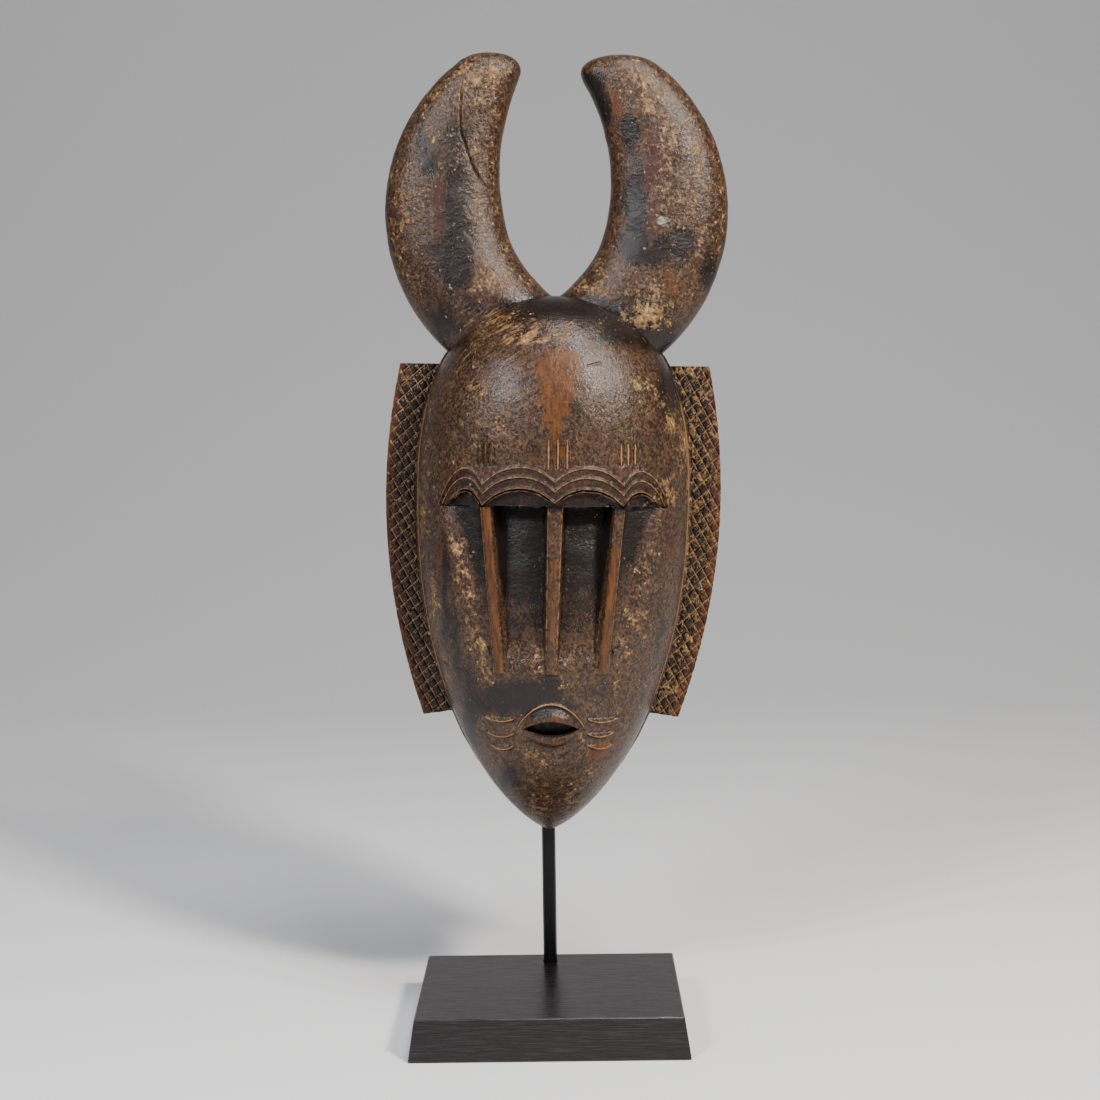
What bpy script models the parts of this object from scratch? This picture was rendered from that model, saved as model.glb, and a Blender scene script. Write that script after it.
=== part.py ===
# A horned wooden face mask held by a steel stem over a black wooden base.
# Metres, +Z up, the face looks along -Y, and the origin is at the centre of the base's underside.

import math

import bmesh
import bpy
from mathutils import Vector

MM = 0.001
FIT_GAP = 0.3 * MM  # between pieces that touch

# Base: a flat board whose sides slope out towards the foot
BASE_TOP_WIDTH = 116 * MM
BASE_TOP_DEPTH = 100 * MM
BASE_HEIGHT = 18 * MM
BASE_FLARE = 2.7 * MM  # the foot stands out past the top by this much, all round
BASE_ARRIS = 0.5 * MM

# Stem: one steel rod, upright behind the mask, then bent forward into the hollow
ROD_DIAMETER = 6.35 * MM
ROD_SETBACK = 12 * MM  # from the back edge of the base's top to the rod's axis
ROD_SEAT_DEPTH = 12 * MM
ROD_BEND_RADIUS = 12 * MM
ROD_PEG_DEPTH = 6 * MM  # the bent end reaches this far into the wood
ROD_ARM_RISE = 196 * MM  # from the chin up to the bent end's axis

# Mask: its place on the stem
CHIN_HEIGHT = 83.8 * MM
MASK_SHIFT = 0.6 * MM
MASK_ROLL = math.radians(1.45)

# Mask: the face, whose heights are counted from the tip of the chin
FACE_HEIGHT = 243.8 * MM
FACE_HALF_WIDTH = 61 * MM
FACE_WIDEST = 0.65 * FACE_HEIGHT
FACE_CURVE = 2.3  # 2 is an ellipse, more is squarer
FACE_JAW_CURVE = 0.74  # less makes the jaw fuller
DOME_DEPTH = 46 * MM
DOME_DEEPEST = 0.72 * FACE_HEIGHT
DOME_CROWN_CURVE = 2.25
DOME_JAW_CURVE = 0.62
DOME_ROUNDNESS = 2.2  # 2 is an ellipse, more is squarer
SIDE_DEPTH = 21 * MM  # the straight side wall behind the dome
CHIN_SIDE_DEPTH = 9 * MM
CHIN_TAPER = 45 * MM
RIM_LIP = 1.9 * MM
RIM_LIP_DEPTH = 15.5 * MM
RIM_LIP_SHARE = 0.75  # of the side wall's depth, where that is less
TIP_HALF = 0.6 * MM  # the chin and the crown are cut off this near their ends

# Mask: the hollow behind the face
SIDE_WALL = 9 * MM
FRONT_WALL = 14 * MM
VISOR_WALL = 8 * MM
HOLLOW_FOOT = 24 * MM  # the chin below this is solid
HOLLOW_HEADROOM = 13 * MM
HOLLOW_END_SHARE = 0.25  # the hollow's width at its two ends

# Mask: the sunken visor below the brow, and its three upright bars
BROW_SHELF = 152 * MM
VISOR_FOOT = 80 * MM
VISOR_TOP_HALF_WIDTH = 49.5 * MM
VISOR_FOOT_HALF_WIDTH = 31 * MM
VISOR_DEPTH = 16 * MM  # of the two grooves beside the nose
PANEL_DEPTH = 7 * MM  # of the shallower panels outside the side bars
PANEL_CURVE = 2.2  # more keeps the panels deep further out
VISOR_SLOPE_CURVE = 0.8  # less keeps the floor deep further down
LUNETTE_DEPTH = 2.6 * MM  # the shallow step between the lowest brow line and the shelf
BAR_FOOT = 78.5 * MM
BAR_PROUD = 1.4 * MM
NOSE_FLANK = 2.2 * MM  # each flank spreads this much towards the visor's floor
SIDE_BAR_FLANKS = (1.2 * MM, 5 * MM)  # towards the panel, and towards the nose
BAR_ROOT = 2 * MM  # the bars reach this far into the wood behind and above them
NOSE_LEAN = 1.2 * MM  # the nose's top stands this far to the right of its foot
NOSE_TOP_WIDTH = 6.2 * MM
NOSE_FOOT_WIDTH = 4.4 * MM
SIDE_BAR_WIDTH = 4.2 * MM
SIDE_BAR_TOP = 29.3 * MM
SIDE_BAR_FOOT = 22.7 * MM

# Mask: the brow, four arches of three raised lines each
ARCH_ENDS = (-50 * MM, -30.6 * MM, 0.8 * MM, 30.6 * MM, 51 * MM)
ARCH_END_RISES = (-1 * MM, 8.8 * MM, 10.2 * MM, 8.8 * MM, -2 * MM)  # above the brow shelf
ARCH_PEAK_RISES = (15 * MM, 16.4 * MM, 16.2 * MM, 14.2 * MM)
ARCH_DROPS = (0 * MM, 4.2 * MM, 9 * MM)
ARCH_LINE_WIDTH = 2 * MM
ARCH_CURVE = 2.2
ARCH_STEPS = 6

# Mask: the mouth and the lines around it
MOUTH_CENTRE = 0.6 * MM
MOUTH_HEIGHT = 54.6 * MM
MOUTH_HALF_WIDTH = 10.3 * MM
MOUTH_OPENING = 5.6 * MM
MOUTH_DROP = 0.6 * MM  # its middle is this far below the lips' corners
MOUTH_DEPTH = 9 * MM  # blind, because no light shows through it
LIP_WIDTH = 4.6 * MM
LIP_HALF_WIDTH = 12.6 * MM
LIP_RISE = 4.6 * MM
MOUTH_RING_RISE = 9.6 * MM
MOUTH_RING_SPREAD = 1.15  # its half width over the lips'
MOUTH_RING_WIDTH = 1.8 * MM
WHISKER_LENGTH = 13 * MM
WHISKER_START = 16.3 * MM
WHISKER_SAG = 1.6 * MM
WHISKER_WIDTH = 2 * MM
WHISKER_PITCH = 6.6 * MM
WHISKER_TOP = 57.6 * MM

# Mask: the short upright strokes on the forehead, three to a group
STROKE_GROUPS = (-29.2 * MM, 2.2 * MM, 32.4 * MM)
STROKE_LENGTHS = (10.5 * MM, 13 * MM, 9.5 * MM)
STROKE_PITCH = 3 * MM
STROKE_WIDTH = 1.5 * MM
STROKE_RISE = 22.4 * MM  # their middle above the brow shelf

# Mask: the flat wings beside the face
WING_TOP = 213.2 * MM
WING_TOP_EDGE = 69.8 * MM
WING_FOOT = 53.4 * MM
WING_FOOT_EDGE = 58.2 * MM
WING_BULGE = 11.2 * MM
WING_THICKNESS = 11 * MM
WING_SETBACK = 2.5 * MM  # from the rim's back plane to the wing's back
WING_FOOT_LIFT = 3 * MM  # the lower edge rises this much towards the face

# Mask: the crossing grooves on the wings
GROOVE_WIDTH = 1.9 * MM
GROOVE_DEPTH = 1.2 * MM
GROOVE_PITCHES = (5.6 * MM, 7.9 * MM)  # measured upright, for the two directions
GROOVE_SLOPES = (math.radians(42), math.radians(-61))
GROOVE_LENGTH = 60 * MM

# Mask: the horns, each between an outer and an inner arc
HORN_OUTER_CENTRE = (-6.5 * MM, 281 * MM)
HORN_OUTER_RADIUS = 83 * MM
HORN_OUTER_SWEEP = (math.radians(-52), math.radians(50))
HORN_INNER_CENTRE = (-72.9 * MM, 299 * MM)
HORN_INNER_RADIUS = 98.4 * MM
HORN_INNER_SWEEP = (math.radians(-41), math.radians(24))
HORN_CROTCH = 13 * MM  # the inner arcs flare together by this much where they meet the head
HORN_CROTCH_SHARE = 0.38
HORN_ROOT_THICKNESS = 36 * MM
HORN_TIP_THICKNESS = 20 * MM
HORN_SETBACK = 17.5 * MM  # from the rim's back plane to the horns' middle
HORN_ROUNDNESS = 2.3
HORN_CAP = 11 * MM  # length of the rounded tip
RIGHT_HORN_HOOK = 6.5 * MM  # the right tip is this much wider on its inner side
HORN_RINGS = 12
HORN_CAP_RINGS = 4
HORN_SIDES = 14

FACE_ROWS = 25
FACE_COLUMNS = 20
HOLLOW_ROWS = 12
HOLLOW_COLUMNS = 10
VISOR_ROWS = 9
PANEL_COLUMNS = 4
GROOVE_COLUMNS = 9
CUT_REACH = 30 * MM  # cutters run this far past the wood

BACK_PLANE = BASE_TOP_DEPTH / 2 - ROD_SETBACK - ROD_DIAMETER / 2 - FIT_GAP
ROD_Y = BASE_TOP_DEPTH / 2 - ROD_SETBACK


def clear_scene():
    for obj in list(bpy.data.objects):
        bpy.data.objects.remove(obj, do_unlink=True)


def new_collection(name, hidden=False):
    collection = bpy.data.collections.new(name)
    collection.hide_render = hidden
    bpy.context.scene.collection.children.link(collection)
    return collection


def new_material(name, color, roughness, metallic=0.0):
    material = bpy.data.materials.new(name)
    material.use_nodes = True
    shader = material.node_tree.nodes["Principled BSDF"]
    shader.inputs["Base Color"].default_value = (*color, 1)
    shader.inputs["Roughness"].default_value = roughness
    shader.inputs["Metallic"].default_value = metallic
    return material


def add_object(name, mesh, collection, parent=None):
    obj = bpy.data.objects.new(name, mesh)
    obj.parent = parent
    collection.objects.link(obj)
    return obj


def mesh_from(bm, name):
    bmesh.ops.recalc_face_normals(bm, faces=bm.faces)
    mesh = bpy.data.meshes.new(name)
    bm.to_mesh(mesh)
    bm.free()
    return mesh


def loft(name, sections):
    """Closed skin over sections that all have the same number of points."""
    bm = bmesh.new()
    rings = [[bm.verts.new(point) for point in section] for section in sections]
    for lower, upper in zip(rings, rings[1:]):
        for i in range(len(lower)):
            j = (i + 1) % len(lower)
            bm.faces.new((lower[i], lower[j], upper[j], upper[i]))
    bm.faces.new(rings[0][::-1])
    bm.faces.new(rings[-1])
    return mesh_from(bm, name)


def tube_mesh(name, points, radius, resolution=1):
    """Mesh of a round bar along the points, with its caps welded on."""
    curve = bpy.data.curves.new(name, "CURVE")
    curve.dimensions = "3D"
    curve.bevel_depth = radius
    curve.bevel_resolution = resolution
    curve.use_fill_caps = True
    spline = curve.splines.new("POLY")
    spline.points.add(len(points) - 1)
    for target, point in zip(spline.points, points):
        target.co = (*point, 1)
    holder = bpy.data.objects.new(name, curve)
    bpy.context.scene.collection.objects.link(holder)
    graph = bpy.context.evaluated_depsgraph_get()
    mesh = bpy.data.meshes.new_from_object(holder.evaluated_get(graph))
    bpy.data.objects.remove(holder, do_unlink=True)
    bm = bmesh.new()
    bm.from_mesh(mesh)
    bmesh.ops.remove_doubles(bm, verts=bm.verts, dist=0.01 * MM)
    bmesh.ops.recalc_face_normals(bm, faces=bm.faces)
    bm.to_mesh(mesh)
    bm.free()
    return mesh


def boolean(target, operation, tool):
    modifier = target.modifiers.new(f"{operation.lower()} {tool.name}", "BOOLEAN")
    modifier.operation = operation
    modifier.solver = "EXACT"
    modifier.object = tool
    return modifier


# Form of the face

def half_width(z):
    """Half the face's width at height z above the chin."""
    if z >= FACE_WIDEST:
        share = (z - FACE_WIDEST) / (FACE_HEIGHT - FACE_WIDEST)
        return FACE_HALF_WIDTH * max(1 - share**FACE_CURVE, 0) ** (1 / FACE_CURVE)
    share = (FACE_WIDEST - z) / FACE_WIDEST
    return FACE_HALF_WIDTH * max(1 - share**FACE_CURVE, 0) ** FACE_JAW_CURVE


def dome_depth(z):
    """How far the middle of the face stands out in front of the side wall."""
    if z >= DOME_DEEPEST:
        share = (z - DOME_DEEPEST) / (FACE_HEIGHT - DOME_DEEPEST)
        return DOME_DEPTH * max(1 - share**DOME_CROWN_CURVE, 0) ** (1 / DOME_CROWN_CURVE)
    share = (DOME_DEEPEST - z) / DOME_DEEPEST
    return DOME_DEPTH * max(1 - share**FACE_CURVE, 0) ** DOME_JAW_CURVE


def side_depth(z):
    """Depth of the side wall, which thins towards the chin."""
    rest = max(1 - z / CHIN_TAPER, 0)
    return SIDE_DEPTH - (SIDE_DEPTH - CHIN_SIDE_DEPTH) * rest**2


def face_point(x, z, lift=0.0):
    """Point on the front of the face, or in front of it by the lift."""
    share = min(abs(x) / half_width(z), 1)
    bulge = max(1 - share**DOME_ROUNDNESS, 0) ** (1 / DOME_ROUNDNESS)
    return Vector((x, -side_depth(z) - dome_depth(z) * bulge - lift, z))


def arc_shares(count):
    """Points of a rounded half section from +1 to -1, as shares of its half width and depth."""
    power = 2 / DOME_ROUNDNESS
    for i in range(count + 1):
        angle = math.pi * i / count
        across = math.copysign(abs(math.cos(angle)) ** power, math.cos(angle))
        yield across, math.sin(angle) ** power if 0 < i < count else 0.0


def spaced(low, high, count):
    """Heights from low to high, closer together at both ends."""
    for i in range(count + 1):
        yield low + (high - low) * (0.5 - 0.5 * math.cos(math.pi * i / count))


def face_solid():
    sections = []
    for z in spaced(TIP_HALF, FACE_HEIGHT - TIP_HALF / 2, FACE_ROWS):
        width, depth, side = half_width(z), dome_depth(z), side_depth(z)
        lip = RIM_LIP * min(1, z / CHIN_TAPER, (FACE_HEIGHT - z) / RIM_LIP_DEPTH)
        shoulder = min(RIM_LIP_DEPTH, side * RIM_LIP_SHARE)
        section = [Vector((width + lip, 0, z)), Vector((width + lip, -shoulder, z)),
                   Vector((width, -shoulder - lip / 2, z))]
        section += [Vector((width * across, -side - depth * out, z)) for across, out in arc_shares(FACE_COLUMNS)]
        section += [Vector((-point.x, point.y, point.z)) for point in reversed(section[:3])]
        sections.append(section)
    return loft("face", sections)


def hollow_solid():
    """The space behind the face, open at the back."""
    low, high = HOLLOW_FOOT, FACE_HEIGHT - HOLLOW_HEADROOM
    sections = []
    for z in spaced(low, high, HOLLOW_ROWS):
        reach = (z - low) / (high - low)
        ease = max(4 * reach * (1 - reach), 0) ** (1 / 3)
        width = max(half_width(z) - SIDE_WALL, SIDE_WALL / 4) * (HOLLOW_END_SHARE + (1 - HOLLOW_END_SHARE) * ease)
        wall = max(FRONT_WALL, VISOR_WALL + VISOR_DEPTH * visor_share(z))
        depth = max((side_depth(z) + dome_depth(z) - wall) * ease, SIDE_WALL / 3)
        section = [Vector((width, CUT_REACH, z))]
        section += [Vector((width * across, -depth * out, z)) for across, out in arc_shares(HOLLOW_COLUMNS)]
        section += [Vector((-width, CUT_REACH, z))]
        sections.append(section)
    return loft("hollow", sections)


# Visor and bars

def visor_share(z):
    """The sunken floor's depth at height z, as a share of its depth under the brow."""
    rise = (z - VISOR_FOOT) / (BROW_SHELF - VISOR_FOOT)
    if rise > 1:
        return max(1 - (rise - 1) * 4, 0)
    return max(rise, 0) ** VISOR_SLOPE_CURVE


def visor_half_width(z):
    rise = (z - VISOR_FOOT) / (BROW_SHELF - VISOR_FOOT)
    return VISOR_FOOT_HALF_WIDTH + (VISOR_TOP_HALF_WIDTH - VISOR_FOOT_HALF_WIDTH) * rise


def side_bar_x(z):
    """Distance from the middle to a side bar's crest at height z."""
    return SIDE_BAR_FOOT + (SIDE_BAR_TOP - SIDE_BAR_FOOT) * (z - BAR_FOOT) / (BROW_SHELF + BAR_ROOT - BAR_FOOT)


def visor_floor(z):
    """Points across the sunken floor: a shallow panel, both grooves, and the other panel."""
    width, bar, half_bar = visor_half_width(z), side_bar_x(z), SIDE_BAR_WIDTH / 4
    panel = []
    for i in range(PANEL_COLUMNS + 1):
        share = i / PANEL_COLUMNS
        depth = PANEL_DEPTH * visor_share(z) * (1 - share**PANEL_CURVE)
        panel.append((bar + half_bar + (width - bar - half_bar) * share, depth))
    for x, depth in reversed(panel):
        yield face_point(-x, z, -depth)
    for i in range(GROOVE_COLUMNS + 1):
        x = (bar - half_bar) * (2 * i / GROOVE_COLUMNS - 1)
        yield face_point(x, z, -VISOR_DEPTH * visor_share(z))
    for x, depth in panel:
        yield face_point(x, z, -depth)


def visor_cutter():
    front = -(SIDE_DEPTH + DOME_DEPTH + CUT_REACH)
    sections = []
    for i in range(VISOR_ROWS + 1):
        z = VISOR_FOOT + (BROW_SHELF - VISOR_FOOT) * i / VISOR_ROWS
        width = visor_half_width(z)
        sections.append([Vector((-width, front, z)), *visor_floor(z), Vector((width, front, z))])
    return loft("visor cutter", sections)


def bar_solid(name, top_x, foot_x, top_width, foot_width, flanks):
    """An upright bar that stands a little proud of the face, with spreading flanks."""
    steps = 6
    head = BROW_SHELF + BAR_ROOT
    sections = []
    for i in range(steps + 1):
        share = i / steps
        z = BAR_FOOT + (head - BAR_FOOT) * share
        x = foot_x + (top_x - foot_x) * share
        half = (foot_width + (top_width - foot_width) * share) / 2
        proud = BAR_PROUD * (1 - share**3)
        root = -(VISOR_DEPTH * visor_share(min(z, BROW_SHELF)) + BAR_ROOT)
        sections.append([
            face_point(x - half - flanks[0], z, root), face_point(x - half, z, proud * 0.6),
            face_point(x - half * 0.4, z, proud), face_point(x + half * 0.4, z, proud),
            face_point(x + half, z, proud * 0.6), face_point(x + half + flanks[1], z, root),
        ])
    return loft(name, sections)


# Lines raised on the face

def raised_line(name, path, width, lift=0.15):
    """Round bar half sunk along a path of (x, z) on the face."""
    return tube_mesh(name, [face_point(x, z, width * lift) for x, z in path], width / 2)


def arch_path(drop):
    path = []
    for i in range(len(ARCH_PEAK_RISES)):
        start, end = ARCH_ENDS[i], ARCH_ENDS[i + 1]
        for j in range(ARCH_STEPS if i < len(ARCH_PEAK_RISES) - 1 else ARCH_STEPS + 1):
            x = start + (end - start) * j / ARCH_STEPS
            path.append((x, arch_height(x, i, drop)))
    return path


def bow_path(centre, middle, half, rise, steps=7):
    """A bow across the mouth, up by the rise at its middle."""
    for i in range(steps + 1):
        share = 2 * i / steps - 1
        yield centre + half * share, middle + rise * (1 - share * share)


def arch_height(x, i, drop):
    """Height of a brow line's arch i at x."""
    start, end = ARCH_ENDS[i], ARCH_ENDS[i + 1]
    low, high = ARCH_END_RISES[i], ARCH_END_RISES[i + 1]
    share = (x - start) / (end - start)
    arch = 1 - abs(2 * share - 1) ** ARCH_CURVE
    rise = low + (high - low) * share + (ARCH_PEAK_RISES[i] - (low + high) / 2) * arch
    return BROW_SHELF + rise - drop


def lunette_cutter(i):
    """Shallow step below the lowest line of arch i, down to the brow shelf."""
    start, end = ARCH_ENDS[i], ARCH_ENDS[i + 1]
    front = -(SIDE_DEPTH + DOME_DEPTH + CUT_REACH)
    foot = BROW_SHELF - 1 * MM
    sections = []
    for j in range(ARCH_STEPS + 1):
        x = start + (end - start) * (0.06 + 0.88 * j / ARCH_STEPS)
        top = max(arch_height(x, i, ARCH_DROPS[-1]) - ARCH_LINE_WIDTH * 0.3, foot + 1 * MM)
        floor = [face_point(x, foot + (top - foot) * share, -LUNETTE_DEPTH) for share in (0, 0.5, 1)]
        sections.append([Vector((x, front, foot)), *floor, Vector((x, front, top))])
    return loft(f"lunette {i}", sections)


def joined(name, meshes):
    """One mesh from several that don't touch."""
    bm = bmesh.new()
    for mesh in meshes:
        bm.from_mesh(mesh)
    return mesh_from(bm, name)


def brow_lines():
    for i, drop in enumerate(ARCH_DROPS):
        keep = [point for point in arch_path(drop) if point[1] > BROW_SHELF - 0.5 * MM]
        yield raised_line(f"brow line {i}", keep, ARCH_LINE_WIDTH)


def strokes():
    for group, (centre, length) in enumerate(zip(STROKE_GROUPS, STROKE_LENGTHS)):
        for i in (-1, 0, 1):
            x = centre + STROKE_PITCH * i
            ends = [(x, BROW_SHELF + STROKE_RISE + length * share) for share in (0.5, -0.5)]
            yield raised_line(f"stroke {group} {i}", ends, STROKE_WIDTH)


def whiskers():
    for side in (-1, 1):
        for i in range(3):
            middle = MOUTH_CENTRE + side * (WHISKER_START + WHISKER_LENGTH / 2)
            path = list(bow_path(middle, WHISKER_TOP - WHISKER_PITCH * i, WHISKER_LENGTH / 2, -WHISKER_SAG, 4))
            yield raised_line(f"whisker {side} {i}", path, WHISKER_WIDTH)


def raised_lines():
    """The raised carving, grouped so that the lines of one mesh don't touch."""
    yield joined("brow lines", brow_lines())
    yield joined("strokes", strokes())
    yield joined("whiskers", whiskers())
    upper = list(bow_path(MOUTH_CENTRE, MOUTH_HEIGHT, LIP_HALF_WIDTH, LIP_RISE))
    yield raised_line("upper lip", upper, LIP_WIDTH, 0.05)
    lower = list(bow_path(MOUTH_CENTRE, MOUTH_HEIGHT - LIP_WIDTH / 2, LIP_HALF_WIDTH, -LIP_RISE))
    yield raised_line("lower lip", lower, LIP_WIDTH, 0.05)
    ring = list(bow_path(MOUTH_CENTRE, MOUTH_HEIGHT, LIP_HALF_WIDTH * MOUTH_RING_SPREAD, MOUTH_RING_RISE))
    yield raised_line("mouth ring", ring, MOUTH_RING_WIDTH)


def mouth_cutter():
    """Lens-shaped blind cut between the lips."""
    steps = 8
    edge = list(bow_path(0, 0, MOUTH_HALF_WIDTH, MOUTH_OPENING / 2, steps))
    edge += [(x, -z) for x, z in reversed(edge[1:-1])]
    middle = MOUTH_HEIGHT - MOUTH_DROP
    front = -(SIDE_DEPTH + DOME_DEPTH + CUT_REACH)
    floor = face_point(MOUTH_CENTRE, middle, -MOUTH_DEPTH).y
    return loft("mouth cutter", [
        [Vector((MOUTH_CENTRE + x, y, middle + z)) for x, z in edge] for y in (front, floor)
    ])


# Horns and wings

def horn_ring(middle, across, deep):
    power = 2 / HORN_ROUNDNESS
    for j in range(HORN_SIDES):
        angle = math.tau * j / HORN_SIDES
        c, s = math.cos(angle), math.sin(angle)
        yield middle + across * math.copysign(abs(c) ** power, c) + deep * math.copysign(abs(s) ** power, s)


def horn_solid(name, side, hook):
    sections = []
    middle = Vector()
    for i in range(HORN_RINGS + 1):
        before = middle
        share = i / HORN_RINGS
        outer = HORN_OUTER_SWEEP[0] + (HORN_OUTER_SWEEP[1] - HORN_OUTER_SWEEP[0]) * share
        inner = HORN_INNER_SWEEP[0] + (HORN_INNER_SWEEP[1] - HORN_INNER_SWEEP[0]) * share
        out_x = HORN_OUTER_CENTRE[0] + HORN_OUTER_RADIUS * math.cos(outer)
        out_z = HORN_OUTER_CENTRE[1] + HORN_OUTER_RADIUS * math.sin(outer)
        flare = HORN_CROTCH * max(1 - share / HORN_CROTCH_SHARE, 0) ** 2
        in_x = HORN_INNER_CENTRE[0] + HORN_INNER_RADIUS * math.cos(inner) - flare - hook * share**3
        in_z = HORN_INNER_CENTRE[1] + HORN_INNER_RADIUS * math.sin(inner)
        across = Vector((side * (out_x - in_x), 0, out_z - in_z)) / 2
        middle = Vector((side * (out_x + in_x) / 2, -HORN_SETBACK, (out_z + in_z) / 2))
        thickness = HORN_ROOT_THICKNESS + (HORN_TIP_THICKNESS - HORN_ROOT_THICKNESS) * share
        deep = Vector((0, -thickness / 2, 0))
        sections.append(list(horn_ring(middle, across, deep)))
    ahead = (middle - before).normalized()
    for i in range(1, HORN_CAP_RINGS + 1):
        angle = math.pi / 2 * i / (HORN_CAP_RINGS + 0.25)
        rise = ahead * HORN_CAP * math.sin(angle)
        sections.append(list(horn_ring(middle + rise, across * math.cos(angle), deep * math.cos(angle))))
    return loft(name, sections)


def wing_edge(z):
    """The wing's outer edge at height z, a shallow bow."""
    share = (z - WING_FOOT) / (WING_TOP - WING_FOOT)
    chord = WING_FOOT_EDGE + (WING_TOP_EDGE - WING_FOOT_EDGE) * share
    return chord + WING_BULGE * (1 - (2 * share - 1) ** 2)


def wing_solid(name, side):
    steps = 14
    heights = [WING_FOOT + (WING_TOP - WING_FOOT) * i / steps for i in range(steps + 1)]
    outline = [(wing_edge(z), z) for z in heights]
    for i, z in enumerate(reversed(heights)):
        lift = WING_FOOT_LIFT if i == steps else 0
        outline.append((half_width(z) - SIDE_WALL / 2, z + lift))
    layers = (-WING_SETBACK, -WING_SETBACK - WING_THICKNESS)
    return loft(name, [[Vector((side * x, y, z)) for x, z in outline] for y in layers])


def groove_cutter(name, side, pitch, slope):
    """Square bars on edge, so that each cuts a V into the wing's front."""
    front = -WING_SETBACK - WING_THICKNESS
    middle_x = side * (WING_TOP_EDGE + WING_FOOT_EDGE) / 2
    bm = bmesh.new()
    run = abs(math.tan(slope)) * GROOVE_LENGTH / 4
    count = int((WING_TOP - WING_FOOT + 2 * run) / pitch) + 1
    for i in range(count):
        z = WING_FOOT - run + pitch * i
        made = bmesh.ops.create_cube(bm, size=1)["verts"]
        for vert in made:
            along, deep, wide = vert.co.x * GROOVE_LENGTH, vert.co.y - vert.co.z, vert.co.y + vert.co.z
            deep, wide = deep * GROOVE_DEPTH, wide * GROOVE_WIDTH / 2
            vert.co = (
                middle_x + along * math.cos(slope) - wide * math.sin(slope), front + deep,
                z + along * math.sin(slope) + wide * math.cos(slope),
            )
    return mesh_from(bm, name)


# Pieces

def rod_path(peg_end):
    """The rod's axis, from its seat in the base to the end of its peg."""
    arm_z = CHIN_HEIGHT + ROD_ARM_RISE
    yield Vector((0, ROD_Y, BASE_HEIGHT - ROD_SEAT_DEPTH + FIT_GAP))
    steps = 6
    for i in range(steps + 1):
        angle = math.pi / 2 * i / steps
        yield Vector((0, ROD_Y - ROD_BEND_RADIUS * (1 - math.cos(angle)),
                      arm_z - ROD_BEND_RADIUS * (1 - math.sin(angle))))
    yield Vector((0, peg_end, arm_z))


def peg_end_y():
    """Depth in the scene where the peg stops, inside the forehead's wall."""
    z = ROD_ARM_RISE
    inner = side_depth(z) + dome_depth(z) - FRONT_WALL
    return BACK_PLANE - inner - ROD_PEG_DEPTH


def build_base(parts, cutters):
    half_x, half_y = BASE_TOP_WIDTH / 2, BASE_TOP_DEPTH / 2
    bm = bmesh.new()
    bmesh.ops.create_cube(bm, size=2)
    for vert in bm.verts:
        flare = BASE_FLARE if vert.co.z < 0 else 0
        vert.co.x *= half_x + flare
        vert.co.y *= half_y + flare
        vert.co.z = BASE_HEIGHT if vert.co.z > 0 else 0
    bmesh.ops.bevel(bm, geom=bm.edges[:], offset=BASE_ARRIS, segments=1, affect="EDGES")
    base = add_object("base", mesh_from(bm, "base"), parts)
    seat = bpy.data.meshes.new("rod seat")
    bm = bmesh.new()
    bmesh.ops.create_cone(
        bm, cap_ends=True, segments=24, radius1=ROD_DIAMETER / 2 + FIT_GAP, radius2=ROD_DIAMETER / 2 + FIT_GAP,
        depth=2 * ROD_SEAT_DEPTH,
    )
    bm.to_mesh(seat)
    bm.free()
    cutter = add_object("rod seat cutter", seat, cutters)
    cutter.location = (0, ROD_Y, BASE_HEIGHT)
    boolean(base, "DIFFERENCE", cutter)
    base.data.materials.append(new_material("black stained wood", (0.012, 0.011, 0.012), 0.32))
    return base


def build_stem(parts):
    path = list(rod_path(peg_end_y()))
    stem = add_object("stem", tube_mesh("stem", path, ROD_DIAMETER / 2, 3), parts)
    stem.data.materials.append(new_material("blackened steel", (0.02, 0.02, 0.021), 0.38, 0.9))
    return stem


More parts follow.
